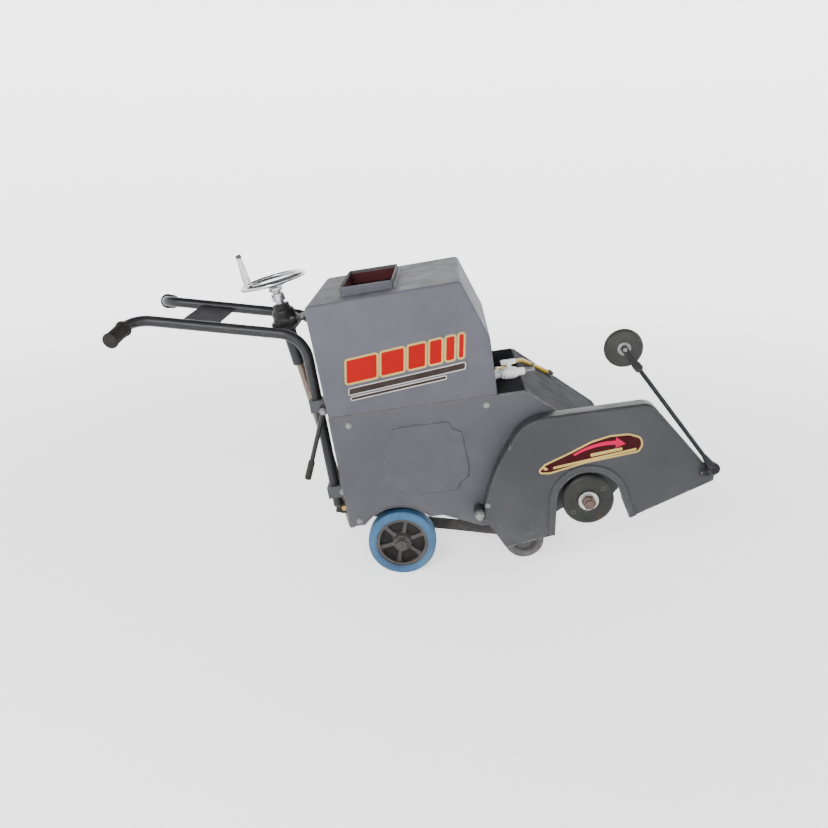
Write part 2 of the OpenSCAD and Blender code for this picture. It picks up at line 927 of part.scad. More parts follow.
side_plate_right();
side_plate_left();
rear_plate();
engine_bed();
spindle_bed();
nose_deck();
axle_hangers();
rear_axle();
hood_wrap();
hood_side_right();
hood_side_left();
hood_collar();
engine_block();
cylinder_head();
recoil_cover();
fuel_tank();
muffler();
air_cleaner();
pillow_blocks();
drive_belts();
handlebar_right();
handlebar_left();
handlebar_plate();
grip_right();
grip_left();
leg_clamps();
column_bracket();
column_bearing();
column_tube();
water_valve();
water_hose();
hose_clips();
frame_bolts();
axle_caps();
fuel_cap();
valve_handle();
rear_tyre_right();
rear_hub_right();
rear_tyre_left();
rear_hub_left();
wheel_arm();
front_axle();
front_wheel_right();
front_wheel_left();
blade_shaft();
inner_flange();
driven_pulley();
outer_flange();
arbor_nut();
crankshaft();
flywheel();
drive_pulley();
depth_screw();
handwheel();
crank_handle();
screw_nut();
blade_guard();
pointer_arm();
pointer_wheel();
clamp_lever();
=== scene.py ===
"""Looks of the walk-behind concrete saw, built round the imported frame.

Lengths of the machine are in millimetres in three frames: the chassis' own (rear
axle at the origin, +X forward, +Y to the operator's left, +Z up), the depth
screw's own (+Z up along the screw), and each part's, before it is put in place.
"""
import json
import math
import bmesh
import bpy
import numpy as np
from mathutils import Matrix, Vector
from mathutils.geometry import tessellate_polygon


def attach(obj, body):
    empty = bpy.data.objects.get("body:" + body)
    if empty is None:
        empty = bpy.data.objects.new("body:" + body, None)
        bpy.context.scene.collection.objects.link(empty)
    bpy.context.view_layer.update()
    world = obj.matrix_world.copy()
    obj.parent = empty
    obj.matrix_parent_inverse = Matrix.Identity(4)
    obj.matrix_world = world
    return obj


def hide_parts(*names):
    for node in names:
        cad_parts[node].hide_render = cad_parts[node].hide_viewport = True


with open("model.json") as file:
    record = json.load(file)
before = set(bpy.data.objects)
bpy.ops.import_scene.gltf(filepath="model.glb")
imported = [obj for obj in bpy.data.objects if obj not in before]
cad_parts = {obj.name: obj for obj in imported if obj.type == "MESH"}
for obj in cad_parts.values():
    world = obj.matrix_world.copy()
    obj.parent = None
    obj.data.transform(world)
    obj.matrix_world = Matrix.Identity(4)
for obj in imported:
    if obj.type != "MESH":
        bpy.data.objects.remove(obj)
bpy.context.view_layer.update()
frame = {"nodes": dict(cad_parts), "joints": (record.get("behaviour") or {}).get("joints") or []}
JOINTS = {j["name"]: j for j in frame["joints"]}


# ---------- places ----------

def unit(v):
    return np.asarray(v, float) / np.linalg.norm(v)


def pivot(name):
    return np.array(JOINTS[name]["pos_m"], float)


def direction(name):
    return unit(JOINTS[name]["axis"])


def placer(origin, x, z):
    """Point p in millimetres goes to origin + x p0 + (z cross x) p1 + z p2, in metres."""
    basis = np.array([x, np.cross(z, x), z]) / 1000
    return lambda p: origin + np.asarray(p, float) @ basis


LEFT = np.array([0.0, 1.0, 0.0])
UP = direction("valve_handle_turn")
chassis = placer((pivot("rear_wheel_right_spin") + pivot("rear_wheel_left_spin")) / 2,
                 np.cross(LEFT, UP), UP)
SCREW_UP = direction("depth_screw_turn")
screw = placer(pivot("depth_screw_turn"), np.cross(LEFT, SCREW_UP), SCREW_UP)
RIGHT_OUT = (0, -1, 0)
LEFT_OUT = (0, 1, 0)

# Main places of the chassis: x and z where two numbers stand, else one distance
SIDE = 229.0  # outer face of a side sheet, out from the middle
SEAM = 415.0  # height of the seam between chassis and hood
ARCH_R = 122  # wheel arch
FILLER = (-54, -150, 90, 130)  # x and y of the filler opening's corners
ARBOR = (538, 90)  # blade shaft
HINGE = (236, 92)  # bolt on which the blade guard lifts
GUARD_OUT, GUARD_IN = -285.0, -240.0  # y of the guard's face and of its open side
PIN = (873.0, 146.0)  # foot of the pointer
WHEEL_AT = (660.0, 515.0)  # the pointer's wheel
POINTER_Y = -297.0
CLAMP_BOLT_X = -155  # bolts of the handlebar clamps, and the clamp lever's pin
LEVER_PIN = (CLAMP_BOLT_X, -188, 428)
VALVE_AT = (330.0, -100.0, 432.0)  # rear end of the water valve, whose axis runs forward
STEM_X = 374
REAR_TRACK, FRONT_TRACK = 195, 106  # middle of a wheel, out from the middle

# ---------- camera ----------

CAMERA_AT = (0.0730, -2.2814, 1.2272)
YAW, DOWN, ROLL = 0.0356, 0.3357, -0.0179
ahead = np.array([-math.sin(YAW) * math.cos(DOWN), math.cos(YAW) * math.cos(DOWN),
                  -math.sin(DOWN)])
across_view = np.array([math.cos(YAW), math.sin(YAW), 0.0])
above = np.cross(across_view, ahead)
view_x = math.cos(ROLL) * across_view + math.sin(ROLL) * above
view_y = -math.sin(ROLL) * across_view + math.cos(ROLL) * above
lens = bpy.data.cameras.new("camera")
lens.lens, lens.sensor_width, lens.clip_end = 34.91, 36.0, 60.0
camera = bpy.data.objects.new("camera", lens)
bpy.context.scene.collection.objects.link(camera)
turn = Matrix([[view_x[i], view_y[i], -ahead[i]] for i in range(3)])
camera.matrix_world = Matrix.Translation(CAMERA_AT) @ turn.to_4x4()
bpy.context.scene.camera = camera


# ---------- shells: (points, faces) in millimetres ----------

def rings_to_shell(rings, closed_rings=True, low="cap", high="cap"):
    """Rings of equal length joined by quads; each end is a flat cap, a pole or open.
    A pole end is one point, the mean of its ring."""
    rings = np.asarray(rings, float)
    n, m = rings.shape[:2]
    points = rings.reshape(-1, 3)
    k = np.arange(m if closed_rings else m - 1)
    after = (k + 1) % m
    start = (np.arange(n - 1) * m)[:, None]
    quads = np.stack([start + k, start + after, start + m + after, start + m + k], -1)
    faces = quads.reshape(-1, 4).tolist()
    if low == "cap":
        faces.append(list(range(m))[::-1])
    if high == "cap":
        faces.append([(n - 1) * m + i for i in range(m)])
    for end, base, order in ((low, 0, 1), (high, (n - 1) * m, -1)):
        if end == "pole":
            points = np.vstack([points, points[base:base + m].mean(0)])
            tip = len(points) - 1
            faces += [[base + b, base + a, tip][::order] for a,
                      b in zip(k.tolist(), after.tolist())]
    return points, faces


def looped(rings):
    """Rings joined round in a loop, the last to the first."""
    rings = np.asarray(rings, float)
    count = rings.shape[0] * rings.shape[1]
    points, faces = rings_to_shell(np.concatenate([rings, rings[:1]]), True, "open", "open")
    return points[:count], [[i % count for i in f] for f in faces]


def ray(degrees, r=1.0, *rest):
    """The point at radius r in a direction, with any further coordinates after it."""
    a = math.radians(degrees)
    return (r * math.cos(a), r * math.sin(a), *rest)


def circle(n):
    """Angles of n points spread evenly round a circle, in radians."""
    return np.arange(n) * 2 * math.pi / n


def lathe_rings(profile, sides):
    p, t = np.asarray(profile, float), circle(sides)
    return np.stack([p[:, :1] * np.cos(t), p[:, :1] * np.sin(t),
                     np.repeat(p[:, 1:], sides, 1)], -1)


def lathe(profile, sides=64, low="cap", high="cap"):
    """Profile rows (radius r, height h) turned about Z: (r cos t, r sin t, h)."""
    return rings_to_shell(lathe_rings(profile, sides), True, low, high)


def ring(profile, sides=64):
    """A closed profile (r, h), given anticlockwise, turned about Z, so the shell is a ring."""
    return looped(lathe_rings(profile, sides))


def eased(corners, r, n=4, closed=True):
    """Corners of a flat line with each one cut back and turned on a quarter-like arc."""
    c = [np.asarray(p, float) for p in corners]
    radii = r if isinstance(r, (list, tuple)) else [r] * len(c)
    out = []
    for i, p in enumerate(c):
        if radii[i] <= 0 or (not closed and i in (0, len(c) - 1)):
            out.append(p)
            continue
        before, after = c[i - 1] - p, c[(i + 1) % len(c)] - p
        reach = min(np.linalg.norm(before), np.linalg.norm(after)) * 0.48
        u, v = unit(before), unit(after)
        half = math.acos(max(-1.0, min(1.0, float(u @ v)))) / 2
        if abs(half - math.pi / 2) < 1e-3:
            out.append(p)
            continue
        cut = min(radii[i] / math.tan(half), reach)
        big = cut * math.tan(half)
        centre = p + unit(u + v) * (big / math.sin(half))
        a, b = p + u * cut - centre, p + v * cut - centre
        swing = math.pi - 2 * half
        for s in np.linspace(0, 1, n + 1):
            out.append(centre + (math.sin((1 - s) * swing) * a + math.sin(s * swing) * b)
                       / math.sin(swing))
    return np.array(out)


def arc(centre, r, a, b, n):
    """Points on a circle from angle a to angle b, degrees."""
    t = np.radians(np.linspace(a, b, n + 1))
    return np.stack([centre[0] + r * np.cos(t), centre[1] + r * np.sin(t)], -1)


def rectangle(x0, y0, x1, y1, grow=0):
    """Corners of a rectangle, grown all round."""
    x0, y0, x1, y1 = x0 - grow, y0 - grow, x1 + grow, y1 + grow
    return [(x0, y0), (x1, y0), (x1, y1), (x0, y1)]


def level(loop, h):
    """The flat line at height h."""
    return np.column_stack([loop, np.full(len(loop), h)])


def area(loop):
    x, y = loop[:, 0], loop[:, 1]
    return float((x * np.roll(y, -1) - y * np.roll(x, -1)).sum()) / 2


def inset(loop, d, closed=True):
    """The line moved d to the left of its way, mitred at the corners."""
    step = np.roll(loop, -1, 0) - loop
    step /= np.maximum(np.linalg.norm(step, axis=1, keepdims=True), 1e-9)
    if not closed:
        step[-1] = step[-2]
    left = np.stack([-step[:, 1], step[:, 0]], -1)
    back = np.roll(left, 1, 0)
    if not closed:
        back[0] = left[0]
    return loop + (left + back) / (1 + (left * back).sum(1, keepdims=True)) * d


def outset(loop, d):
    """A closed line moved d outwards, whichever way it runs."""
    loop = np.asarray(loop, float)
    return inset(loop, -math.copysign(d, area(loop)))


def slab(outline, h0, h1, r=1.0, holes=(), n=2):
    """Flat plate from height h0 to h1: side walls stand on the outline, and each edge
    turns into the face on a round of radius r."""
    loops = [np.asarray(outline, float)] + [np.asarray(h, float) for h in holes]
    loops = [l if (area(l) > 0) == (i == 0) else l[::-1] for i, l in enumerate(loops)]
    t = np.radians(np.linspace(0, 90, n + 1))
    steps = [(r * (1 - math.sin(a)), h0 + r * (1 - math.cos(a))) for a in t]
    steps += [(r * (1 - math.cos(a)), h1 - r * (1 - math.sin(a))) for a in t]
    points, faces, ends, count = [], [], [], 0
    for loop in loops:
        rings = [level(inset(loop, d), h) for d, h in steps]
        p, f = rings_to_shell(rings, True, "open", "open")
        points.append(p)
        faces += [[i + count for i in q] for q in f]
        ends.append((count, len(loop), len(rings)))
        count += len(p)
    points = np.vstack(points)
    flat = [[Vector((points[b + i][0], points[b + i][1], 0)) for i in range(m)] for b, m,
            _ in ends]
    low = [b + i for b, m, _ in ends for i in range(m)]
    high = [b + (k - 1) * m + i for b, m, k in ends for i in range(m)]
    for tri in tessellate_polygon(flat):
        a, b, c = (points[low[i]][:2] for i in tri)
        up = (b[0] - a[0]) * (c[1] - a[1]) - (b[1] - a[1]) * (c[0] - a[0]) > 0
        faces.append([high[i] for i in (tri if up else tri[::-1])])
        faces.append([low[i] for i in (tri[::-1] if up else tri)])
    return points, faces


def carried_frames(path, first=None):
    """Unit way, side and third direction at each point, the side carried without twist."""
    way = np.gradient(path, axis=0)
    way /= np.linalg.norm(way, axis=1, keepdims=True)
    side = np.zeros_like(path)
    start = np.cross(way[0], (0.31, 0.87, 0.38)) if first is None else np.asarray(first, float)
    side[0] = unit(start - (start @ way[0]) * way[0])
    for i in range(1, len(path)):
        side[i] = unit(side[i - 1] - way[i] * (side[i - 1] @ way[i]))
    return way, side, np.cross(way, side)


def sweep(path, radius, sides=24, first=None, thick=1.0):
    """Circle of the given radius (one number, or one for each point) carried along a path;
    `thick` flattens it square to the side that starts as `first`."""
    path = np.asarray(path, float)
    r = np.broadcast_to(np.asarray(radius, float), (len(path),))[:, None, None]
    _, side, third = carried_frames(path, first)
    t = circle(sides)
    rings = path[:, None] + r * (np.cos(t)[:, None] * side[:, None] +
                                 thick * np.sin(t)[:, None] * third[:, None])
    return rings_to_shell(rings)


def strip(path, section, out):
    """Flat section rows (side, out) carried along a path that stays square to `out`."""
    path, section = np.asarray(path, float), np.asarray(section, float)
    way = np.gradient(path, axis=0)
    way /= np.linalg.norm(way, axis=1, keepdims=True)
    out = np.asarray(out, float)
    side = np.cross(out, way)
    rings = path[:, None] + section[:, :1] * side[:, None] + section[:, 1:] * out
    return rings_to_shell(rings)


def bent(points, bends, n=8):
    """A path whose inner corners are turned on arcs of the given bend radii."""
    p = [np.asarray(q, float) for q in points]
    out = [p[0]]
    for i in range(1, len(p) - 1):
        u, v = unit(p[i] - p[i - 1]), unit(p[i + 1] - p[i])
        swing = math.acos(float(np.clip(u @ v, -1, 1)))
        inward = unit(v - (u @ v) * u)
        start = p[i] - u * bends[i - 1] * math.tan(swing / 2)
        for a in np.linspace(0, swing, n + 1):
            out.append(start + bends[i - 1] * (math.sin(a) * u + (1 - math.cos(a)) * inward))
    out.append(p[-1])
    return np.array(out)


def spaced(path, step):
    """The path again, in points about `step` apart."""
    path = np.asarray(path, float)
    along = np.r_[0, np.cumsum(np.linalg.norm(np.diff(path, axis=0), axis=1))]
    want = np.linspace(0, along[-1], max(2, int(along[-1] / step) + 1))
    return np.stack([np.interp(want, along, path[:, i]) for i in range(3)], -1)


def weld(path, r=2.6, sides=8):
    """Weld bead: a swept circle whose radius ripples r (1 + 0.16 |sin|) every 4 mm."""
    path = spaced(path, 1.0)
    ripple = 1 + 0.16 * np.abs(np.sin(np.arange(len(path)) * math.pi / 4))
    ripple[0] = ripple[-1] = 0.4
    return sweep(path, r * ripple, sides)


def hexagon(r, height, n=8, chamfer=0.5):
    """Hexagon of corner radius r, its top cut by a 30 degree cone."""
    t = circle(6 * n)
    flat = r * math.cos(math.pi / 6)
    side = flat / np.cos((t + math.pi / 6) % (math.pi / 3) - math.pi / 6)
    inner = flat * (1 - 0.06 * chamfer)
    drop = np.maximum(side - inner, 0) * math.tan(math.radians(32))
    rows = [(side, 0 * t), (side, height - drop), (inner + 0 * t, height + 0 * t),
            (inner * 0.94 + 0 * t, height + 0 * t)]
    rings = [np.stack([s * np.cos(t), s * np.sin(t), h], -1) for s, h in rows]
    return rings_to_shell(rings)


def put(shell, at=(0, 0, 0), z=(0, 0, 1), x=None):
    """The shell with its Z along z and its X along x, moved to `at`."""
    z = unit(z)
    if x is None:
        x = (1, 0, 0) if abs(z[0]) < 0.9 else (0, 1, 0)
    x = np.asarray(x, float)
    x = unit(x - (x @ z) * z)
    return shell[0] @ np.array([x, np.cross(z, x), z]) + np.asarray(at, float), shell[1]


def side_slab(outline, y0, y1, r=1.0, holes=(), n=2):
    """A slab whose outline is in X and Z, from y0 to y1 across the machine."""
    return put(slab(outline, -y1, -y0, r, holes, n), z=RIGHT_OUT, x=(1, 0, 0))


def mirrored(shell):
    """The shell on the other side of the machine."""
    points = shell[0] * np.array([1, -1, 1])
    return points, [f[::-1] for f in shell[1]]


SIDES = (("right", 1), ("left", -1))


def on_side(side, shell):
    """A shell made for the right side (1), or its mirror image for the left (-1)."""
    return shell if side > 0 else mirrored(shell)


def block(a, b, r=2.0, n=3):
    """Box between two corners with edges and corners rounded to radius r: a rounded
    outline whose rings draw in towards the top and the bottom."""
    (x0, y0, z0), (x1, y1, z1) = a, b
    r = min(r, (x1 - x0) / 2.01, (y1 - y0) / 2.01, (z1 - z0) / 2.01)
    outline = eased(rectangle(x0, y0, x1, y1), r, n)
    return slab(outline, z0, z1, r * 0.98, (), n)


CORE = 0.1  # a turned solid's caps close on this radius


def softly(rows, edge, n=3):
    """Profile rows with every inner corner rounded."""
    return eased(rows, edge, n, False)


def turned(rows, edge, n, sides, *where):
    """A solid turned from profile rows (r, h), its corners rounded, put at `where`."""
    rows = [(CORE, rows[0][1])] + list(rows) + [(CORE, rows[-1][1])]
    return put(lathe(eased(rows, edge, n, False), sides), *where)


def bored(section, edge, n, sides, *where):
    """A ring turned from a closed section (r, h), its corners rounded, put at `where`."""
    return put(ring(eased(section, edge, n), sides), *where)


def bolt(at, out, r=8.0, height=6.0, under=2.0):
    """Hexagon head on a washer, standing on `at` and pointing along `out`."""
    way = unit(out)
    head = put(hexagon(r, height), np.asarray(at) + way * under, out)
    disc = turned([(r * 1.22, 0), (r * 1.22, under)], 0.5, 2, 40, at, out)
    return [disc, head]


def merged(*shells):
    """All shells of one piece, as one list of points and faces."""
    points, faces, count = [], [], 0
    for p, f in shells:
        points.append(p)
        faces += [[i + count for i in q] for q in f]
        count += len(p)
    return np.vstack(points), faces


def outward(mesh):
    """Every shell of the mesh faces out."""
    shape = bmesh.new()
    shape.from_mesh(mesh)
    bmesh.ops.recalc_face_normals(shape, faces=shape.faces)
    shape.to_mesh(mesh)
    shape.free()


def piece(name, shells, material, body="chassis", place=chassis, cad=(), sharp=32, slot=None):
    """A finished object: shells placed in the machine, smooth but for edges over `sharp`.
    `cad` is the node or nodes that it stands for."""
    points, faces = merged(*(shells if isinstance(shells, list) else [shells]))
    mesh = bpy.data.meshes.new(name)
    mesh.from_pydata(place(points).tolist(), [], faces)
    outward(mesh)
    obj = dressed(name, mesh, material, body, cad, sharp, slot)
    even_shading(obj).keep_sharp = True
    return obj


def dressed(name, mesh, material, body, cad, sharp, slot):
    """An object with its finish and body. Its `slot` is not used."""
    mesh.validate()
    mesh.polygons.foreach_set("use_smooth", np.ones(len(mesh.polygons), bool))
    mesh.set_sharp_from_angle(angle=math.radians(sharp))
    mesh.materials.append(MATERIALS[material])
    obj = bpy.data.objects.new(name, mesh)
    bpy.context.scene.collection.objects.link(obj)
    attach(obj, body)
    if cad:
        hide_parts(*([cad] if isinstance(cad, str) else cad))
    if slot != "":
        slot or material
    return obj


def even_shading(obj):
    even = obj.modifiers.new("even_shading", "WEIGHTED_NORMAL")
    even.weight = 80
    return even


def softened(node, width, material, body="chassis", segments=2, slot=None):
    """A CAD node's shape with its edges rounded to `width` millimetres."""
    shape = bmesh.new()
    shape.from_mesh(frame["nodes"][node].data)
    bmesh.ops.remove_doubles(shape, verts=shape.verts, dist=1e-5)
    bmesh.ops.dissolve_limit(shape, angle_limit=math.radians(1.0), verts=shape.verts,
                             edges=shape.edges)
    mesh = bpy.data.meshes.new(node + "_finish")
    shape.to_mesh(mesh)
    shape.free()
    obj = dressed(mesh.name, mesh, material, body, node, 40, slot)
    edge = obj.modifiers.new("round_edges", "BEVEL")
    edge.width, edge.segments, edge.limit_method = width / 1000, segments, "ANGLE"
    edge.angle_limit = math.radians(30)
    edge.use_clamp_overlap = True
    edge.harden_normals = False
    edge.miter_outer = "MITER_ARC"
    even_shading(obj)


# ---------- finishes ----------

class Board:
    """A node tree being laid out: `add` makes a node, with its values and its links."""

    def __init__(self, tree):
        self.tree = tree

    def add(self, kind, settings=None, **inputs):
        node = self.tree.nodes.new(kind)
        for key, value in (settings or {}).items():
            setattr(node, key, value)
        for key, value in inputs.items():
            numbered = key[0] == "i" and key[1:].isdigit()
            self.feed(node.inputs[int(key[1:]) if numbered else key.replace("_", " ")], value)
        return node

    def feed(self, socket, value):
        if isinstance(value, bpy.types.NodeSocket):
            self.tree.links.new(value, socket)
        else:
            socket.default_value = value

    def maths(self, operation, a, b=0.0, clamp=False):
        return self.add("ShaderNodeMath", {"operation": operation, "use_clamp": clamp},
                        i0=a, i1=b).outputs[0]

    def band(self, value, low, high):
        """0 below low, 1 above high, smooth between."""
        return self.add("ShaderNodeMapRange", {"interpolation_type": "SMOOTHSTEP"},
                        Value=value, From_Min=low, From_Max=high).outputs[0]

    def noise(self, vector, scale, detail=2.0, rough=0.5):
        return self.add("ShaderNodeTexNoise", Vector=vector, Scale=scale, Detail=detail,
                        Roughness=rough).outputs[0]

    def blend(self, share, a, b):
        node = self.add("ShaderNodeMix", {"data_type": "RGBA"})
        self.feed(node.inputs[0], share)
        for number, colour in ((6, a), (7, b)):
            plain = not isinstance(colour, bpy.types.NodeSocket)
            self.feed(node.inputs[number], (*colour[:3], 1) if plain else colour)
        return node.outputs[2]

    def product(self, *factors):
        """All factors multiplied, the last step held between 0 and 1."""
        first, *rest = factors
        for factor in rest:
            first = self.maths("MULTIPLY", first, factor, factor is rest[-1])
        return first


def effect(name, inputs, outputs):
    """A node group with named value inputs (the first is the place) and value outputs."""
    tree = bpy.data.node_groups.new(name, "ShaderNodeTree")
    tree.interface.new_socket("Place", in_out="INPUT", socket_type="NodeSocketVector")
    for label, value in inputs:
        socket = tree.interface.new_socket(label, in_out="INPUT", socket_type="NodeSocketFloat")
        socket.default_value = value
    for label in outputs:
        tree.interface.new_socket(label, in_out="OUTPUT", socket_type="NodeSocketFloat")
    board = Board(tree)
    return board, board.add("NodeGroupInput").outputs, board.add("NodeGroupOutput").inputs


def make_edge_wear():
    """Mask of worn edges: how far a rounded normal leaves the true one, broken by noise."""
    b, i, o = effect("edge_wear", [("Width", 0.003), ("Amount", 1.0)], ["Mask"])
    soft = b.add("ShaderNodeBevel", {"samples": 4}, Radius=i["Width"]).outputs[0]
    hard = b.add("ShaderNodeNewGeometry").outputs["Normal"]
    same = b.add("ShaderNodeVectorMath", {"operation": "DOT_PRODUCT"}, i0=soft,
                 i1=hard).outputs["Value"]
    edge = b.band(same, 0.995, 0.90)
    patch = b.band(b.noise(i["Place"], 26.0, 5.0, 0.65), 0.42, 0.62)
    fine = b.band(b.noise(i["Place"], 140.0, 3.0, 0.6), 0.35, 0.60)
    b.feed(o["Mask"], b.product(edge, patch, fine, i["Amount"]))
    return b.tree


def make_scratches():
    """Short straight scratches: noise drawn out along two slants, its peaks kept in patches."""
    b, i, o = effect("scratches", [("Scale", 1.0), ("Amount", 1.0)], ["Mask"])
    lines = []
    for slant, long in (((0.1, 0.35, 0.0), (15.0, 300.0, 300.0)),
                        ((0.0, -1.05, 0.2), (20.0, 340.0, 340.0))):
        drawn = b.add("ShaderNodeMapping", Vector=i["Place"], Rotation=slant,
                      Scale=long).outputs[0]
        lines.append(b.band(b.noise(drawn, i["Scale"], 1.0), 0.735, 0.80))
    both = b.maths("MAXIMUM", *lines)
    patch = b.band(b.noise(i["Place"], 6.0, 3.0), 0.52, 0.66)
    b.feed(o["Mask"], b.product(both, patch, i["Amount"]))
    return b.tree


def make_dust():
    """Dust that thickens towards the ground and lies on what faces up, in soft patches."""
    b, i, o = effect("dust", [("Top", 0.35), ("Amount", 1.0)], ["Mask"])
    height = b.add("ShaderNodeSeparateXYZ", i0=i["Place"]).outputs[2]
    low = b.maths("SUBTRACT", 1.0, b.maths("DIVIDE", height, i["Top"], True), True)
    facing = b.add("ShaderNodeSeparateXYZ",
                   i0=b.add("ShaderNodeNewGeometry").outputs["Normal"]).outputs[2]
    lying = b.maths("MULTIPLY", b.band(facing, 0.45, 0.95), 0.12)
    cloud = b.band(b.noise(i["Place"], 7.0, 7.0, 0.62), 0.34, 0.72)
    fine = b.band(b.noise(i["Place"], 90.0, 3.0, 0.6), 0.25, 0.75)
    both = b.maths("ADD", b.maths("MULTIPLY", low, low), lying)
    grain = b.maths("ADD", b.maths("MULTIPLY", fine, 0.5), 0.5)
    b.feed(o["Mask"], b.product(both, cloud, grain, i["Amount"]))
    return b.tree


def make_mottle():
    """Three sizes of soft noise: broad tone, mid cloud and fine grain, each 0 to 1."""
    b, i, o = effect("mottle", [("Scale", 4.0)], ["Broad", "Cloud", "Grain"])
    cloud_scale, grain_scale = (b.maths("MULTIPLY", i["Scale"], k) for k in (6.0, 90.0))
    b.feed(o["Broad"], b.band(b.noise(i["Place"], i["Scale"], 2.0), 0.30, 0.70))
    b.feed(o["Cloud"], b.band(b.noise(i["Place"], cloud_scale, 6.0, 0.6), 0.3, 0.7))
    b.feed(o["Grain"], b.noise(i["Place"], grain_scale, 3.0, 0.55))
    return b.tree


EDGE_WEAR, SCRATCHES, DUST, MOTTLE = make_edge_wear(), make_scratches(), make_dust(), make_mottle()
DUST_COLOUR = (0.13, 0.122, 0.115)
BARE_STEEL = (0.22, 0.215, 0.21)
RUST = (0.095, 0.036, 0.014)


def finish(name, colour, rough=0.45, metallic=0.0, tone=0.12, cloud=0.08, scale=4.0,
           wear=0.0, wear_to=BARE_STEEL, wear_width=0.003, scratch=0.0, scratch_to=None,
           dust=0.0, dust_top=0.35, rust=0.0, grain=0.05, grain_scale=1.0, specular=0.5,
           clear=0.0):
    """One surface finish. Colour shifts by `tone` in broad patches and by `cloud` in small
    ones; then come rust, scratches, worn edges and dust, each on its own mask."""
    material = bpy.data.materials.new(name)
    material.use_nodes = True
    tree = material.node_tree
    tree.nodes.clear()
    b = Board(tree)
    place = b.add("ShaderNodeTexCoord").outputs["Object"]

    def group(kind, **values):
        return b.add("ShaderNodeGroup", {"node_tree": kind}, Place=place, **values).outputs

    soft = group(MOTTLE, Scale=scale)
    base = np.array(colour)
    paint = b.blend(soft["Broad"], base * (1 - tone), base * (1 + tone))
    paint = b.blend(b.maths("MULTIPLY", soft["Cloud"], cloud), paint, (0.02, 0.02, 0.02))
    roughness = b.maths("ADD", b.maths("MULTIPLY", soft["Cloud"], 0.12), rough - 0.06)
    shine = metallic
    if rust:
        spots = b.maths("MULTIPLY", b.band(b.noise(place, 34.0, 8.0, 0.7), 0.58, 0.70), rust)
        paint = b.blend(spots, paint, RUST)
        roughness = b.maths("ADD", roughness, b.maths("MULTIPLY", spots, 0.3), True)
        shine = b.maths("MULTIPLY", b.maths("SUBTRACT", 1.0, spots, True), metallic)
    height = soft["Grain"]
    if scratch:
        lines = group(SCRATCHES, Amount=scratch)["Mask"]
        lighter = scratch_to if scratch_to is not None else np.minimum(base * 1.8 + 0.015, 1)
        paint = b.blend(lines, paint, lighter)
        height = b.maths("SUBTRACT", height, b.maths("MULTIPLY", lines, 0.8))
    if wear:
        mask = group(EDGE_WEAR, Amount=wear, Width=wear_width)["Mask"]
        paint = b.blend(mask, paint, wear_to)
        shine = b.maths("ADD", shine, b.maths("MULTIPLY", mask, 0.6), True)
    if dust:
        mask = group(DUST, Amount=dust, Top=dust_top)["Mask"]
        paint = b.blend(mask, paint, DUST_COLOUR)
        roughness = b.maths("ADD", roughness, b.maths("MULTIPLY", mask, 0.35), True)
        if rust or wear or metallic:
            shine = b.maths("MULTIPLY", shine, b.maths("SUBTRACT", 1.0, mask, True))
    bump = b.add("ShaderNodeBump", Strength=grain, Distance=0.0006 * grain_scale, Height=height)
    shader = b.add("ShaderNodeBsdfPrincipled", Base_Color=paint, Roughness=roughness,
                   Normal=bump.outputs[0], Metallic=shine, Specular_IOR_Level=specular,
                   Coat_Weight=clear)
    b.add("ShaderNodeOutputMaterial", i0=shader.outputs[0])
    return material


def ink(name, colour, rough, **more):
    """Printed ink: hardly any grain, and next to no shine."""
    return finish("print_" + name, colour, rough, grain=0.05, specular=0.08, **more)


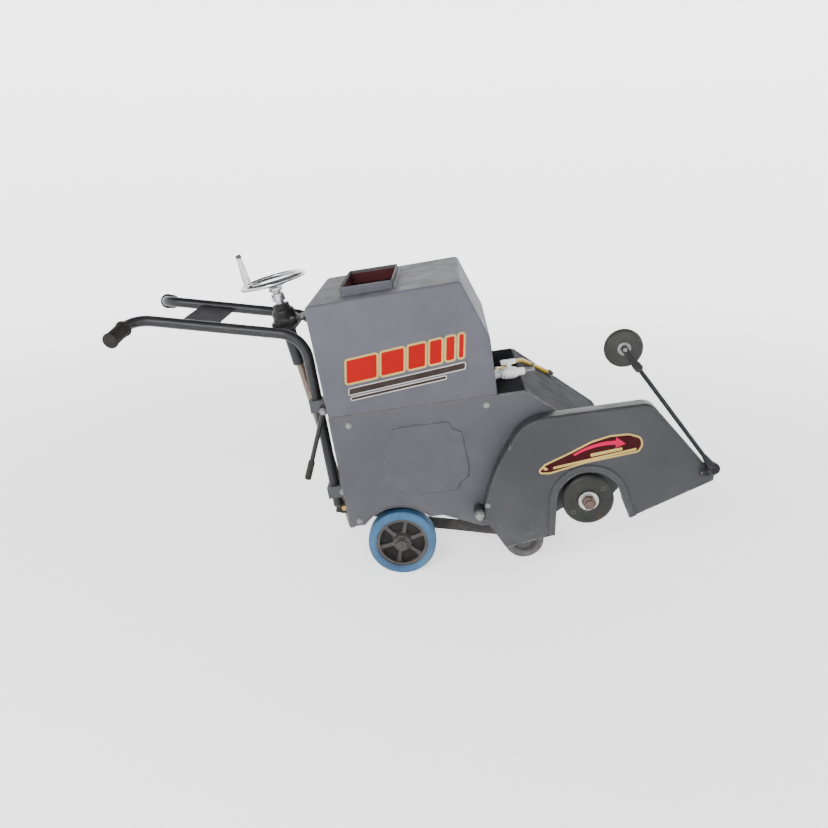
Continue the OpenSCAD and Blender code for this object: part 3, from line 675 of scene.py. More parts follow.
SHELL_GREY = (0.050, 0.050, 0.058)
# Lighter copy of the shell's grey for the hood: painted light, the chassis's own paint drawn as if
# lit more brightly
HOOD_LIT_GREY = (0.070, 0.070, 0.084)
# Darker copy of the shell's grey for the blade guard: painted shade, the same paint drawn as if
# lit less
GUARD_SHADED_GREY = (0.0255, 0.0262, 0.030)
MATERIALS = {m.name.split(".")[0]: m for m in [
    finish("shell_paint", SHELL_GREY, 0.48, specular=0.2, tone=0.10, cloud=0.16, scale=3.2,
           wear=0.9, scratch=0.45, dust=0.55, dust_top=0.30, rust=0.10, grain=0.16,
           grain_scale=1.3),
    finish("hood_paint", HOOD_LIT_GREY, 0.52, specular=0.06, tone=0.09, cloud=0.14, scale=2.6,
           wear=0.9, scratch=0.5, dust=0.35, dust_top=0.30, grain=0.14, grain_scale=1.3),
    finish("guard_paint", GUARD_SHADED_GREY, 0.46, specular=0.2, tone=0.12, cloud=0.18, scale=3.4,
           wear=1.0, wear_width=0.004, scratch=0.6, dust=0.7, dust_top=0.40, rust=0.12, grain=0.18,
           grain_scale=1.4),
    # Darker copy of the shell's grey for the handlebar plate: painted shade on a face that looks
    # up
    finish("plate_shaded_paint", (0.017, 0.016, 0.020), 0.70, specular=0.05, tone=0.12, cloud=0.2,
           scale=3.6, wear=0.6, wear_to=(0.16, 0.155, 0.15), scratch=0.3, dust=0.25, dust_top=0.3,
           grain=0.16),
    # Darker copy of the shell's grey for the nose deck: painted shade on its upward faces
    finish("slope_shaded_paint", (0.038, 0.038, 0.043), 0.72, specular=0.04, tone=0.12, cloud=0.18,
           scale=3.6, wear=0.7, scratch=0.5, dust=0.35, dust_top=0.3, grain=0.16, grain_scale=1.3),
    finish("black_paint", (0.007, 0.007, 0.008), 0.46, specular=0.15, tone=0.15, cloud=0.2,
           wear=0.8, wear_to=(0.16, 0.15, 0.14), scratch=0.3, dust=0.6, grain=0.12),
    finish("tube_black", (0.010, 0.010, 0.012), 0.38, specular=0.25, tone=0.2, cloud=0.2, wear=0.5,
           wear_to=(0.14, 0.13, 0.13), scratch=0.45, scratch_to=(0.14, 0.135, 0.13),
           dust=0.45, grain=0.12),
    finish("grip_rubber", (0.008, 0.007, 0.006), 0.62, tone=0.2, cloud=0.3, dust=0.35,
           dust_top=1.0, grain=0.30, grain_scale=1.5, specular=0.15),
    finish("blue_tyre", (0.024, 0.078, 0.158), 0.52, specular=0.2, tone=0.14, cloud=0.22,
           scale=9.0, scratch=0.35, scratch_to=(0.16, 0.26, 0.38), dust=0.62, dust_top=0.20,
           grain=0.22, grain_scale=1.2, wear=0.5, wear_to=(0.095, 0.085, 0.050), wear_width=0.006),
    finish("wheel_iron", (0.034, 0.031, 0.030), 0.55, specular=0.25, tone=0.25, cloud=0.35,
           scale=10.0, wear=0.9, wear_to=(0.22, 0.17, 0.11), rust=0.55, dust=0.7, dust_top=0.25,
           grain=0.35, grain_scale=1.6),
    finish("front_rubber", (0.036, 0.036, 0.039), 0.66, tone=0.2, cloud=0.3, scale=9.0,
           dust=0.9, dust_top=0.16, grain=0.3, specular=0.35),
    finish("pointer_rubber", (0.020, 0.020, 0.019), 0.66, tone=0.16, cloud=0.35, scale=14.0,
           dust=0.3, dust_top=1.2, grain=0.3, specular=0.15, wear=0.4,
           wear_to=(0.10, 0.10, 0.095)),
    finish("steel", (0.28, 0.27, 0.26), 0.36, 0.9, tone=0.1, cloud=0.2, rust=0.25, grain=0.12),
    finish("screw_steel", (0.185, 0.140, 0.110), 0.42, 0.55, tone=0.2, cloud=0.3, scale=12.0,
           rust=0.5, grain=0.15),
    finish("zinc", (0.16, 0.16, 0.16), 0.42, 0.6, tone=0.12, cloud=0.25, scale=14.0, rust=0.12,
           grain=0.12),
    finish("chrome", (0.40, 0.40, 0.41), 0.27, 1.0, tone=0.03, cloud=0.06, scale=8.0,
           grain=0.03),
    finish("flange_iron", (0.010, 0.011, 0.0095), 0.46, 0.0, specular=0.2, tone=0.2, cloud=0.35,
           scale=12.0, rust=0.35, wear=0.9, wear_to=(0.14, 0.135, 0.12), dust=0.15, grain=0.2),
    finish("bearing_iron", (0.009, 0.008, 0.009), 0.48, specular=0.2, tone=0.2, cloud=0.25,
           wear=0.7, wear_to=(0.14, 0.12, 0.10), rust=0.15, dust=0.4, dust_top=1.0, grain=0.35,
           grain_scale=1.8),
    finish("engine_alloy", (0.30, 0.30, 0.30), 0.5, 0.7, tone=0.12, cloud=0.25, dust=0.4,
           dust_top=1.0, grain=0.4, grain_scale=2.0),
    finish("engine_black", (0.020, 0.020, 0.021), 0.38, tone=0.15, cloud=0.2, dust=0.35,
           dust_top=1.0, wear=0.5, grain=0.12),
    finish("tank_red", (0.17, 0.014, 0.012), 0.25, tone=0.15, cloud=0.15, scratch=0.4,
           dust=0.30, dust_top=1.3, grain=0.05, clear=0.3),
    # Dark red for the walls inside the filler opening: painted shade
    finish("shade_red", (0.045, 0.006, 0.008), 0.4, specular=0.15, tone=0.2, cloud=0.3, scale=16.0,
           grain=0.05),
    finish("muffler_steel", (0.20, 0.17, 0.15), 0.55, 0.8, tone=0.2, cloud=0.35, scale=10.0,
           rust=0.6, grain=0.25),
    finish("filter_plastic", (0.020, 0.020, 0.021), 0.5, tone=0.15, cloud=0.15, dust=0.4,
           dust_top=1.0, grain=0.3),
    finish("cap_plastic", (0.018, 0.018, 0.019), 0.4, tone=0.15, cloud=0.15, dust=0.4,
           dust_top=1.2, grain=0.2),
    finish("belt_rubber", (0.022, 0.022, 0.022), 0.6, tone=0.2, cloud=0.3, dust=0.5, grain=0.3,
           specular=0.3),
    finish("valve_white", (0.66, 0.665, 0.67), 0.30, tone=0.03, cloud=0.06, scale=12.0,
           dust=0.25, dust_top=1.0, grain=0.06),
    finish("spigot_grey", (0.12, 0.125, 0.13), 0.36, 0.3, tone=0.1, cloud=0.15, grain=0.08),
    finish("hose_yellow", (0.40, 0.27, 0.014), 0.36, specular=0.3, tone=0.08, cloud=0.12,
           scale=14.0, dust=0.35, dust_top=1.0, grain=0.06),
    finish("nut_bronze", (0.42, 0.26, 0.10), 0.38, 0.9, tone=0.15, cloud=0.3, grain=0.15),
    finish("weld_grey", (0.050, 0.049, 0.053), 0.45, specular=0.3, tone=0.15, cloud=0.3,
           scale=14.0, wear=0.5, rust=0.25, dust=0.4, grain=0.2),
    finish("rusty_end", (0.075, 0.043, 0.034), 0.62, 0.2, tone=0.3, cloud=0.3, scale=20.0,
           rust=0.8, grain=0.4, grain_scale=1.6),
    ink("red", (0.235, 0.0, 0.0), 0.36, tone=0.05, cloud=0.04, scratch=0.25),
    ink("cream", (0.33, 0.24, 0.075), 0.38, tone=0.07, cloud=0.1, scale=8.0, scratch=0.3,
        scratch_to=(0.35, 0.3, 0.2)),
    ink("white", (0.36, 0.34, 0.33), 0.4, tone=0.06, cloud=0.08, scale=8.0),
    ink("maroon", (0.022, 0.0, 0.001), 0.34, tone=0.14, cloud=0.1, scale=8.0, scratch=0.3),
    ink("pink", (0.36, 0.0, 0.040), 0.36, tone=0.05, cloud=0.05, scale=8.0),
    ink("brown", (0.022, 0.014, 0.012), 0.42, tone=0.2, cloud=0.3, scale=20.0),
    # Dark finish of the thin sheet laid over the deck: painted shade
    finish("deck_shade_sheet", (0.024, 0.024, 0.026), 0.85, tone=0.2, cloud=0.3, scale=8.0, dust=0.1,
           grain=0.3, specular=0.0),
    # Near-black for the disc behind the hub spokes: painted shade in the gaps
    finish("web_dark", (0.010, 0.009, 0.009), 0.65, specular=0.15, tone=0.3, cloud=0.4, scale=12.0,
           rust=0.35, grain=0.4),
    # Dark grey for the band inside the filler opening: painted shade
    finish("shade_grey", (0.030, 0.032, 0.032), 0.5, tone=0.15, cloud=0.2, grain=0.15),
    finish("bright_washer", (0.42, 0.42, 0.41), 0.32, 0.8, tone=0.1, cloud=0.2, scale=14.0,
           rust=0.1, grain=0.12),
    # Near-black for painted shade: the patch low on the guard and the recoil cover's vent openings
    finish("shade_black", (0.012, 0.012, 0.013), 0.5, tone=0.15, cloud=0.2, dust=0.3,
           dust_top=1.4, grain=0.15),
]}


# ---------- hood ----------



def pan(path, rows, right_cap=None, left_cap=None, skip=None):
    """A bent sheet: the path in X and Z is set in by each row's distance at the row's y,
    the rows run from right to left, and a cap closes a side between the path and its own
    closing line. `skip` leaves out a window, in path and row numbers."""
    rings = np.array([np.column_stack([inset(path, d, False)[:, 0], np.full(len(path), y),
                                       inset(path, d, False)[:, 1]]) for d, y in rows])
    m = len(path)
    points, faces = rings_to_shell(rings, False, "open", "open")
    if skip:
        (u0, u1), (v0, v1) = skip
        faces = [f for f in faces if not (u0 <= f[0] % m < u1 and v0 <= f[0] // m < v1)]
    for cap, row in ((right_cap, 0), (left_cap, len(rows) - 1)):
        if cap is None:
            continue
        closing, holes = cap
        extra = [np.array([[x, rows[row][1], z] for x, z in line])
                 for line in [closing] + list(holes) if len(line)]
        start = len(points)
        index = list(range(row * m, (row + 1) * m)) + list(range(start, start + len(closing)))
        loops = [index]
        start += len(closing)
        for hole in holes:
            loops.append(list(range(start, start + len(hole))))
            start += len(hole)
        points = np.vstack([points] + extra) if extra else points
        flat = [[Vector((points[i][0], points[i][2], 0)) for i in loop] for loop in loops]
        numbers = [i for loop in loops for i in loop]
        faces += [[numbers[i] for i in tri] for tri in tessellate_polygon(flat)]
    return points, faces


def sheet_metal(obj, thickness):
    """Gives an open sheet its thickness, inwards."""
    wall = obj.modifiers.new("sheet", "SOLIDIFY")
    wall.thickness, wall.offset = thickness / 1000, -1
    wall.use_even_offset = True
    obj.modifiers.move(len(obj.modifiers) - 1, 0)




def top_at(x):
    """Height of the hood's top sheet at x."""
    return 735 - (272 - x) * 7 / 418


def make_hood():
    lowest = SEAM + 0.8
    x0, y0, x1, y1 = FILLER
    path = eased([(330, lowest), (330, 574), (272, 735), (x1, top_at(x1)), (x0, top_at(x0)),
                  (-146, 728), (-140, lowest)], [0, 12, 14, 0, 0, 12, 0], 5, closed=False)
    r = 8.0
    turn_in = [(r * (1 - math.sin(a)), r * (1 - math.cos(a))) for a in np.radians([0, 22, 45, 68,
                                                                                   90])]
    rows = [(d, -SIDE + y) for d, y in turn_in]
    rows += [(0, y0), (0, y1)]
    rows += [(d, SIDE - y) for d, y in turn_in[::-1]]
    near = [int(np.argmin(np.abs(path[:, 0] - x) + (path[:, 1] < 700) * 999))
            for x in (x1, x0)]
    slots = [eased(rectangle(-60, 470 + 26 * i, 80, 478 + 26 * i), 3.9, 3) for i in range(7)]
    shell = pan(path, rows, ([], []), ([], slots), ((near[0], near[1]), (5, 6)))
    # The hood wears the lighter copy of the shell's grey: painted light
    hood = piece("hood_shell", shell, "hood_paint", cad=("hood_wrap", "hood_side_right",
                                                         "hood_side_left"))
    sheet_metal(hood, 2)

    # Lip round the filler opening: an upright wall whose foot follows the sloping top
    outer = eased(rectangle(*FILLER, 2), 7, 5)
    inner = eased(rectangle(*FILLER), 5.2, 5)
    levels = [(outer, None), (outer, 751.6), ((outer * 3 + inner) / 4, 752.8),
              ((outer + 3 * inner) / 4, 752.8), (inner, 751.6), (inner, None)]
    rings = [np.column_stack([loop, top_at(loop[:, 0]) - 1.5]) if h is None else level(loop, h)
             for loop, h in levels]
    piece("hood_lip", looped(rings), "hood_paint", cad="hood_collar")
    loop = eased(rectangle(*FILLER, 3.5), 8, 5)
    loop = np.vstack([loop, loop[:1]])
    piece("lip_weld", weld(np.column_stack([loop, top_at(loop[:, 0]) + 0.6]), 2.0, 6), "weld_grey",
          slot="hood_paint")
    # Painted shade inside the opening: a dark grey band and dark red walls hung round its inner
    # sides
    inner = eased(rectangle(*FILLER, -1), 5, 5)
    inside = inset(inner, 1.4)
    for name, low, high, material in (("filler_shade_band", 743.5, 749.5, "shade_grey"),
                                      ("filler_shade_walls", 712, 743.4, "shade_red")):
        walls = [(inner, low), (inner, high), (inside, high), (inside, low)]
        piece(name, looped([level(loop, h) for loop, h in walls]), material, slot="black_paint")


make_hood()


def face_print(name, outline, level, material, thick=0.35):
    """A printed film on the guard, `level` millimetres outside of y 0."""
    piece(name, side_slab(outline, -level - thick, -level, 0.12, (), 1), material, "blade_guard",
          slot="")


def films(outlines, low, high):
    """Thin printed films on the right side, from `low` to `high` outside its sheet."""
    return [side_slab(line, -SIDE - high, -SIDE - low, 0.1, (), 1) for line in outlines]


def slanted_bar(x0, x1, z0, z1, lean, r=5):
    """Bar whose ends lean forward by `lean`."""
    return eased([(x0, z0), (x1, z0), (x1 + lean, z1), (x0 + lean, z1)], r, 4)


HOOD_PRINTS = {"red": "hood_band_red", "cream": "hood_band_edge", "white": "hood_line_pale",
               "brown": "hood_line_brown"}


def make_hood_graphic():
    """Plain bands where the real hood carries its print: a broad red band of slanted blocks
    with a cream edge over a thin brown one."""
    tilt = math.radians(5)
    centre = np.array([88.0, 560.0])
    turn_it = np.array([[math.cos(tilt), math.sin(tilt)], [-math.sin(tilt), math.cos(tilt)]])

    def tipped(loop):
        return (np.asarray(loop) - centre) @ turn_it + centre

    x = -74
    bars = []
    for width in (84, 62, 46, 32, 22, 12):
        bars.append(slanted_bar(x, x + width, 519, 581, 16, 4))
        x += width + 13
    lines = [slanted_bar(-76, 246, 487, 503, 5, 3), slanted_bar(-74, 190, 471, 478, 3, 2)]
    for name, shapes, margin, low, high in (
            ("red", bars, 0, 0.30, 0.75), ("cream", bars, 5.5, -0.2, 0.45),
            ("white", lines, 2.5, -0.2, 0.40), ("brown", lines, 0, 0.2, 0.65)):
        wide = [outset(line, margin) if margin else line for line in shapes]
        piece(HOOD_PRINTS[name], films([tipped(line) for line in wide], low, high),
              "print_" + name, slot="hood_paint")


make_hood_graphic()

# ---------- chassis ----------

WHEEL_ARCH = arc((0, 0), ARCH_R, 40, 140, 28)


def chassis_outline():
    top = SEAM - 0.8
    corners = [(-140, 78), (-140, top), (330, top), (330, 412), (408, 412), (650, 192),
               (650, 112), (600, 62), (470, 52), (420, 26), (238, 29), (132, 78)]
    soft = eased(corners[:-1], [2, 3, 1, 0, 4, 6, 6, 8, 10, 10, 6], 4, closed=False)
    return np.vstack([soft, [corners[-1]], WHEEL_ARCH])


def raised(outline, rows):
    """A pressed field: the outline drawn in row by row (inset, height) and closed flat."""
    loop = np.asarray(outline, float)
    loop = loop if area(loop) > 0 else loop[::-1]
    return rings_to_shell([level(inset(loop, d), h) for d, h in rows])


PRESSED = [(28, 361), (44, 363), (174, 362), (190, 360), (198, 338), (222, 326), (228, 214),
           (222, 188), (198, 172), (186, 150), (36, 149), (24, 170), (2, 178), (-5, 196),
           (-8, 306), (4, 330), (22, 340)]


def make_chassis():
    outline = chassis_outline()
    hole = arc(ARBOR, 23, 0, 360, 40)[:-1]
    pressed = eased(PRESSED, 7, 4)
    for name, side in SIDES:
        piece("side_plate_%s_sheet" % name, on_side(side,
                                                    side_slab(outline, -SIDE, -SIDE + 4, 1.2,
                                                              [hole])), "shell_paint",
              cad="side_plate_" + name)
        field = put(raised(pressed, [(0, -1), (0, 0.1), (0.7, 0.4), (2.0, 1.9), (3.8, 4.2),
                                     (5.0, 5.0), (6.6, 5.3)]), (0, -SIDE, 0), RIGHT_OUT, (1, 0, 0))
        piece("side_press_" + name, on_side(side, field), "shell_paint", sharp=60)
        y = -side * (SIDE + 0.2)
        seam = spaced([(-139, y, SEAM), (329, y, SEAM)], 6)
        piece("hood_seam_" + name, sweep(seam, 0.9, 8), "rusty_end", slot="shell_paint")
        edge = -side * (SIDE - 3)
        welds = [weld([(a, edge, b), (c, edge, d)], 2.4) for a, b, c, d in
                 ((409, 411.5, 648, 193.5), (331, 413, 406, 413), (650, 190, 650, 122))]
        piece("nose_welds_" + name, welds, "weld_grey", slot="shell_paint")
    # The nose deck wears the darker copy of the shell's grey: painted shade
    softened("nose_deck", 3.0, "slope_shaded_paint", segments=3, slot="shell_paint")
    # A thin dark sheet laid over the deck: painted shade on its top
    shade_sheet = eased(rectangle(332.5, -221, 404, 221), 8, 4)
    piece("deck_shade_sheet", slab(shade_sheet, 411.6, 413.2, 0.7), "deck_shade_sheet", slot="black_paint")
    for node in ("rear_plate", "engine_bed", "spindle_bed", "axle_hangers"):
        softened(node, 1.2, "shell_paint")
    softened("rear_axle", 1.0, "steel")
    # Rolled strip that stiffens the rim of each wheel arch
    rim = level(arc((0, 0), 124.5, 42, 138, 60), 0)[:, [0, 2, 1]]
    for name, side in SIDES:
        piece("arch_lip_" + name, sweep(rim - [0, side * (SIDE + 0.6), 0], 2.4, 10), "shell_paint")


make_chassis()


def make_bolts():
    """Hexagon bolts on washers where the CAD has its plain heads, and the guard's pivot."""
    shells = []
    for x, z in ((296, 390), (-87, 386), (-108, 94), (235, 54)):
        for side in (-1, 1):
            shells += bolt((x, side * SIDE, z), (0, side, 0), 7.4, 5.2, 1.6)
    for x in (-17, 207):
        for y in (-98, 84):
            shells += bolt((x, y, 148), (0, 0, 1), 7.6, 6.0, 1.8)
    piece("frame_bolts_set", shells, "zinc", cad="frame_bolts")
    pivot_pin = [turned([(6, 0), (6, 62)], 1, 2, 32, (HINGE[0], -SIDE, HINGE[1]), RIGHT_OUT)]
    pivot_pin += bolt((HINGE[0], -288.2, HINGE[1]), RIGHT_OUT, 10, 7.5, 2.6)
    pivot_pin += bolt((CLAMP_BOLT_X, -201.6, LEVER_PIN[2]), RIGHT_OUT, 8.4, 5.2, 1.2)
    pivot_pin.append(turned([(4.95, 0), (4.95, 94)], 0, 1, 28, (CLAMP_BOLT_X, -108, LEVER_PIN[2]),
                            RIGHT_OUT))
    piece("pivot_bolts", pivot_pin, "zinc")
    caps = []
    for side in (-1, 1):
        caps.append(bored([(12.6, 0), (19, 0), (19, 4), (12.6, 4)], 0.5, 2, 48,
                          (0, side * 221.5, 0), (0, side, 0)))
        caps.append(put(hexagon(17, 10), (0, side * 225.5, 0), (0, side, 0)))
        caps.append(turned([(8.5, 0), (8.5, 9.6), (6, 11.5)], 1, 2, 32, (0, side * 225, 0),
                           (0, side, 0)))
    piece("axle_nuts", caps, "wheel_iron", cad="axle_caps", slot="zinc")


make_bolts()

# ---------- wheels ----------

def tyre_profile(outer, inner, half, shoulder, crown):
    """Section of a solid tyre: a crowned tread, round shoulders and a step at the rim."""
    t = np.linspace(-1, 1, 9)
    tread = [(outer - crown * a * a, (half - shoulder) * a) for a in t]
    side = [(outer - crown - 2, half - 2.2), (outer - crown - 5, half - 0.4),
            (outer - crown - 8, half), (inner + 5, half), (inner + 3.4, half - 1.8),
            (inner, half - 2.2)]
    low = [(r, -h) for r, h in side[::-1]]
    return np.array(low + tread + side)


def make_rear_wheel(name, side):
    body, out, at = "rear_wheel_" + name, (0, -side, 0), (0, -REAR_TRACK * side, 0)
    piece("rear_tyre_%s_rubber" % name, put(ring(tyre_profile(100, 75.8, 25, 4, 1.2), 96), at,
                                            out), "blue_tyre", body, cad="rear_tyre_" + name,
          sharp=40)
    rim = ring(eased([(66, -20), (76, -20), (76, 20), (66, 20), (67.5, 12), (70.5, 6),
                      (70.5, -6), (67.5, -12)], 1.4, 2), 96)
    boss = ring(eased([(12.6, -26), (24, -26), (26, -22), (30, -8), (30, 8), (26, 22),
                       (24, 26), (12.6, 26)], 1.4, 3), 64)
    shells = [rim, boss]
    t = np.linspace(0, 1, 14)
    for k in range(6):
        way = np.array(ray(60 * k + 12, 1, 0))
        reach = 22 + 50 * t
        path = way * reach[:, None] + np.array([0, 0, 1]) * (9 - 5 * t)[:, None]
        wide = 8.5 - 2.5 * np.sin(t * math.pi) + 5 * np.maximum(t - 0.75, 0) * 4
        shells.append(sweep(path, wide, 16, first=np.cross((0, 0, 1), way), thick=0.62))
    # A dark disc behind the spokes: painted shade that fills the gaps between them
    shade_disc = ring([(24, -3), (69, -3), (69, 1), (24, 1)], 72)
    piece("rear_hub_%s_web" % name, put(shade_disc, at, out), "web_dark", body, slot="wheel_iron")
    piece("rear_hub_%s_casting" % name, put(merged(*shells), at, out), "wheel_iron", body,
          cad="rear_hub_" + name)


for wheel_name, wheel_side in SIDES:
    make_rear_wheel(wheel_name, wheel_side)

PITCH = math.atan2(np.cross(LEFT, UP)[2], np.cross(LEFT, UP)[0])
FRONT_AXLE = (365 * math.cos(PITCH) - 40 * math.sin(PITCH),
              -365 * math.sin(PITCH) - 40 * math.cos(PITCH))


def make_front_wheels():
    x, z = FRONT_AXLE
    for name, side in SIDES:
        body, at = "front_wheel_" + name, (x, -FRONT_TRACK * side, z)
        rubber = ring(tyre_profile(60, 37, 18, 3.5, 1.0), 72)
        disc = ring(eased([(8.1, -22), (18, -22), (20, -19), (21, -9), (34, -7), (38, -15),
                           (38, 15), (34, 7), (21, 9), (20, 19), (18, 22), (8.1, 22)], 1.2, 2), 72)
        piece("front_tyre_%s_rubber" % name, put(rubber, at, RIGHT_OUT), "front_rubber", body,
              cad="front_wheel_" + name, sharp=40)
        piece("front_disc_" + name, put(disc, at, RIGHT_OUT), "front_rubber", body,
              slot="wheel_iron")
    softened("wheel_arm", 2.0, "black_paint", "wheel_arm")
    softened("front_axle", 0.8, "wheel_iron", "wheel_arm", slot="steel")


make_front_wheels()

# ---------- blade shaft ----------



def across(profile, y, sides=64, at=ARBOR, kind=lathe):
    """A turned part on a line across the machine, its heights counted outwards from y."""
    return put(kind(profile, sides), (at[0], y, at[1]), RIGHT_OUT)


NUT_TURN = 0.4  # radians; so that the nut doesn't stand square


def make_blade_shaft():
    softened("blade_shaft", 0.8, "rusty_end", "blade_shaft", slot="steel")
    softened("driven_pulley", 0.8, "flange_iron", "blade_shaft")
    inner = eased([(13.6, 0), (71, 0), (71, 5.5), (68, 8), (56, 8), (55, 7), (13.6, 7)], 0.6, 2)
    piece("inner_flange_disc", [across(inner, -258, 96, kind=ring),
                                across(eased([(15.1, -15.5), (30, -15.5), (30, 0.2), (15.1, 0.2)],
                                             1, 2), -258, 64, kind=ring)], "flange_iron",
          "blade_shaft", cad="inner_flange")
    outer = eased([(12.2, 0), (71, 0), (71, 3), (66, 6.5), (44, 8), (34, 8), (32, 6.6),
                   (12.2, 6.6)], 0.8, 3)
    shells = [across(outer, -271, 96, kind=ring)]
    for degrees in (35, 215):
        x, z = np.array(ARBOR) + ray(degrees, 52)
        shells.append(turned([(5.5, 0), (5.5, 7.6), (4.2, 8.6)], 0.6, 2, 24, (x, -271, z),
                             RIGHT_OUT))
    piece("outer_flange_disc", shells, "flange_iron", "flange_nut", cad="outer_flange")
    piece("arbor_washer", across(eased([(12.3, 0), (27.5, 0), (27.5, 4), (12.3, 4)], 0.8, 2), -279,
                                 72, kind=ring), "bright_washer", "flange_nut", slot="zinc")
    nut = put(hexagon(19.5, 18, 8, 1.0), (ARBOR[0], -283, ARBOR[1]), RIGHT_OUT,
              x=(math.cos(NUT_TURN), 0, math.sin(NUT_TURN)))
    piece("arbor_nut_hexagon", nut, "rusty_end", "flange_nut", cad="arbor_nut", slot="zinc")
    shells = []
    for y in (-206, 100):
        shells.append(put(block((-76, -18, 28), (76, 18, 44), 4), (ARBOR[0], y + 18, ARBOR[1])))
        cup = ring(eased([(15.1, 0), (40, 0), (42, 3), (42, 33), (40, 36), (15.1, 36)], 1.5, 3),
                   72)
        shells.append(put(cup, (ARBOR[0], y + 36, ARBOR[1]), RIGHT_OUT))
        for s in (-58, 58):
            shells += bolt((ARBOR[0] + s, y + 18, 118), (0, 0, -1), 8, 6, 2)
    piece("pillow_block_pair", shells, "bearing_iron", cad="pillow_blocks")


make_blade_shaft()

# ---------- blade guard ----------



def swell(p, q, r, n):
    """Points from p to q on an arc of radius r that swells to the left of the way."""
    p, q = np.asarray(p, float), np.asarray(q, float)
    half = np.linalg.norm(q - p) / 2
    left = np.array([p[1] - q[1], q[0] - p[0]]) / (2 * half)
    c = (p + q) / 2 - left * math.sqrt(r * r - half * half)
    a = math.degrees(math.atan2(p[1] - c[1], p[0] - c[0]))
    return arc(c, r, a, a - 2 * math.degrees(math.asin(half / r)), n)


def make_guard():
    body = "blade_guard"
    top = np.vstack([swell((244, 73), (343, 287), 500, 14), arc((445, 238), 112, 155, 90, 16),
                     arc((702, 306), 44, 90, 38, 10), [(881, 118), (878, 108)]])[::-1]
    arch = np.vstack([[(437, 2)], arc(ARBOR, 88, 180, 0, 48), [(643, 27)]])
    closing = np.vstack([[(296, -18)], arch])
    r = 9.0
    rows = [(r * (1 - math.sin(a)), GUARD_OUT + r * (1 - math.cos(a)))
            for a in np.radians([0, 18, 36, 54, 72, 90])]
    rows.append((0, GUARD_IN))
    # The guard wears the darker copy of the shell's grey: painted shade
    guard = piece("blade_guard_pan", pan(top, rows, (closing, [])), "guard_paint", body,
                  cad="blade_guard")
    sheet_metal(guard, 3)
    # Raised band round the arch
    line = inset(arch, 11.5, False)
    path = spaced(level(line, GUARD_OUT)[:, [0, 2, 1]], 4)
    band = [(-10.8, -1.5), (-10.8, 3.4), (-9.4, 5.4), (-7, 6.2), (4.5, 6.0), (7.5, 5.0),
            (9.8, 2.6), (10.8, -1.5)]
    piece("guard_arch_band", strip(path, band, RIGHT_OUT), "guard_paint", body)
    # Rolled bottom lips each side of the arch
    lips = []
    for a, b in (((646, 28.5), (876, 108.5)), ((299, -16.5), (434, 2.5))):
        path = spaced([(a[0], GUARD_OUT + 2.2, a[1]), (b[0], GUARD_OUT + 2.2, b[1])], 8)
        lips.append(sweep(path, 3.0, 12))
    piece("guard_bottom_lips", lips, "guard_paint", body)
    # Hinge lug, a bolt, and the bracket of the pointer
    lug = ring(eased([(6.2, 0), (15, 0), (15, 44), (6.2, 44)], 2, 3), 48)
    piece("guard_hinge_lug", put(lug, (HINGE[0], GUARD_IN - 0.5, HINGE[1]), RIGHT_OUT),
          "guard_paint", body)
    piece("guard_studs", bolt((262, GUARD_OUT, 118), RIGHT_OUT, 6.5, 4.2, 1.4), "zinc", body)
    # A near-black patch low on the guard: painted shadow where the guard's bottom edge meets the
    # front wheel
    eye = eased([(352, 10), (384, 12), (378, 22), (366, 25), (356, 21)], 4, 4)
    piece("guard_shadow_patch", side_slab(eye, GUARD_OUT - 0.6, GUARD_OUT + 1, 0.4, (), 1),
          "shade_black", body, slot="black_paint")
    bracket = eased([(838, 128), (846, 122), (882, 122), (889, 134), (884, 158), (872, 166),
                     (850, 164), (838, 150)], 5, 4)
    shells = [side_slab(bracket, GUARD_OUT - 4, GUARD_OUT + 0.5, 1.4, (), 3)]
    shells.append(across(softly([(0.1, 0), (8, 0), (8, 17), (0.1, 17)], 0.6, 2), -289,
                         40, (873, 146)))
    shells.append(across(softly([(0.1, 0), (12, 0), (12, 3.6), (9, 4.6), (0.1, 4.6)],
                                         0.6, 2), -304.3, 40, (873, 146)))
    shells += bolt((848, GUARD_OUT - 4, 134), RIGHT_OUT, 5.5, 4, 1)
    piece("pointer_bracket", shells, "black_paint", body, slot="guard_paint")


make_guard()


def make_guard_print():
    """Leaf-shaped maroon film with a curved turning arrow, a cream edge and plain stripes."""
    body = "blade_guard"
    leaf = eased([(412, 196), (432, 214), (500, 238), (560, 262), (610, 272), (660, 270),
                  (690, 256), (690, 236), (680, 222), (610, 216), (538, 210), (440, 192)],
                 [4, 8, 30, 40, 40, 30, 14, 10, 10, 30, 30, 8], 6)
    level = -GUARD_OUT
    face_print("guard_print_edge", outset(leaf, 5.0), level, "print_cream")
    face_print("guard_print_field", leaf, level + 0.25, "print_maroon")
    centre = np.array([600.0, 60.0])
    upper, lower = arc(centre, 201, 118, 83, 24), arc(centre, 189, 117, 83, 24)
    width = np.linspace(0.55, 1, 25)[:, None]
    middle = (upper + lower) / 2
    upper, lower = middle + (upper - middle) * width, middle + (lower - middle) * width
    tip = centre + ray(75, 193)
    wing = [centre + ray(83, q) for q in (211, 180)]
    arrow = np.vstack([upper, [wing[0]], [tip], [wing[1]], lower[::-1]])
    face_print("guard_print_arrow", arrow, level + 0.5, "print_pink", 0.3)
    stripes = [eased([(450, 200), (676, 224), (677, 231), (452, 207)], 2, 2),
               eased([(554, 222), (640, 230), (640, 238), (554, 231)], 3, 3),
               eased([(426, 201), (440, 199), (430, 210), (424, 207)], 2, 2)]
    piece("guard_print_stripes", [side_slab(s, GUARD_OUT - 0.8, GUARD_OUT - 0.5, 0.1, (), 1)
                                  for s in stripes], "print_cream", body, slot="guard_paint")


make_guard_print()

# ---------- pointer ----------



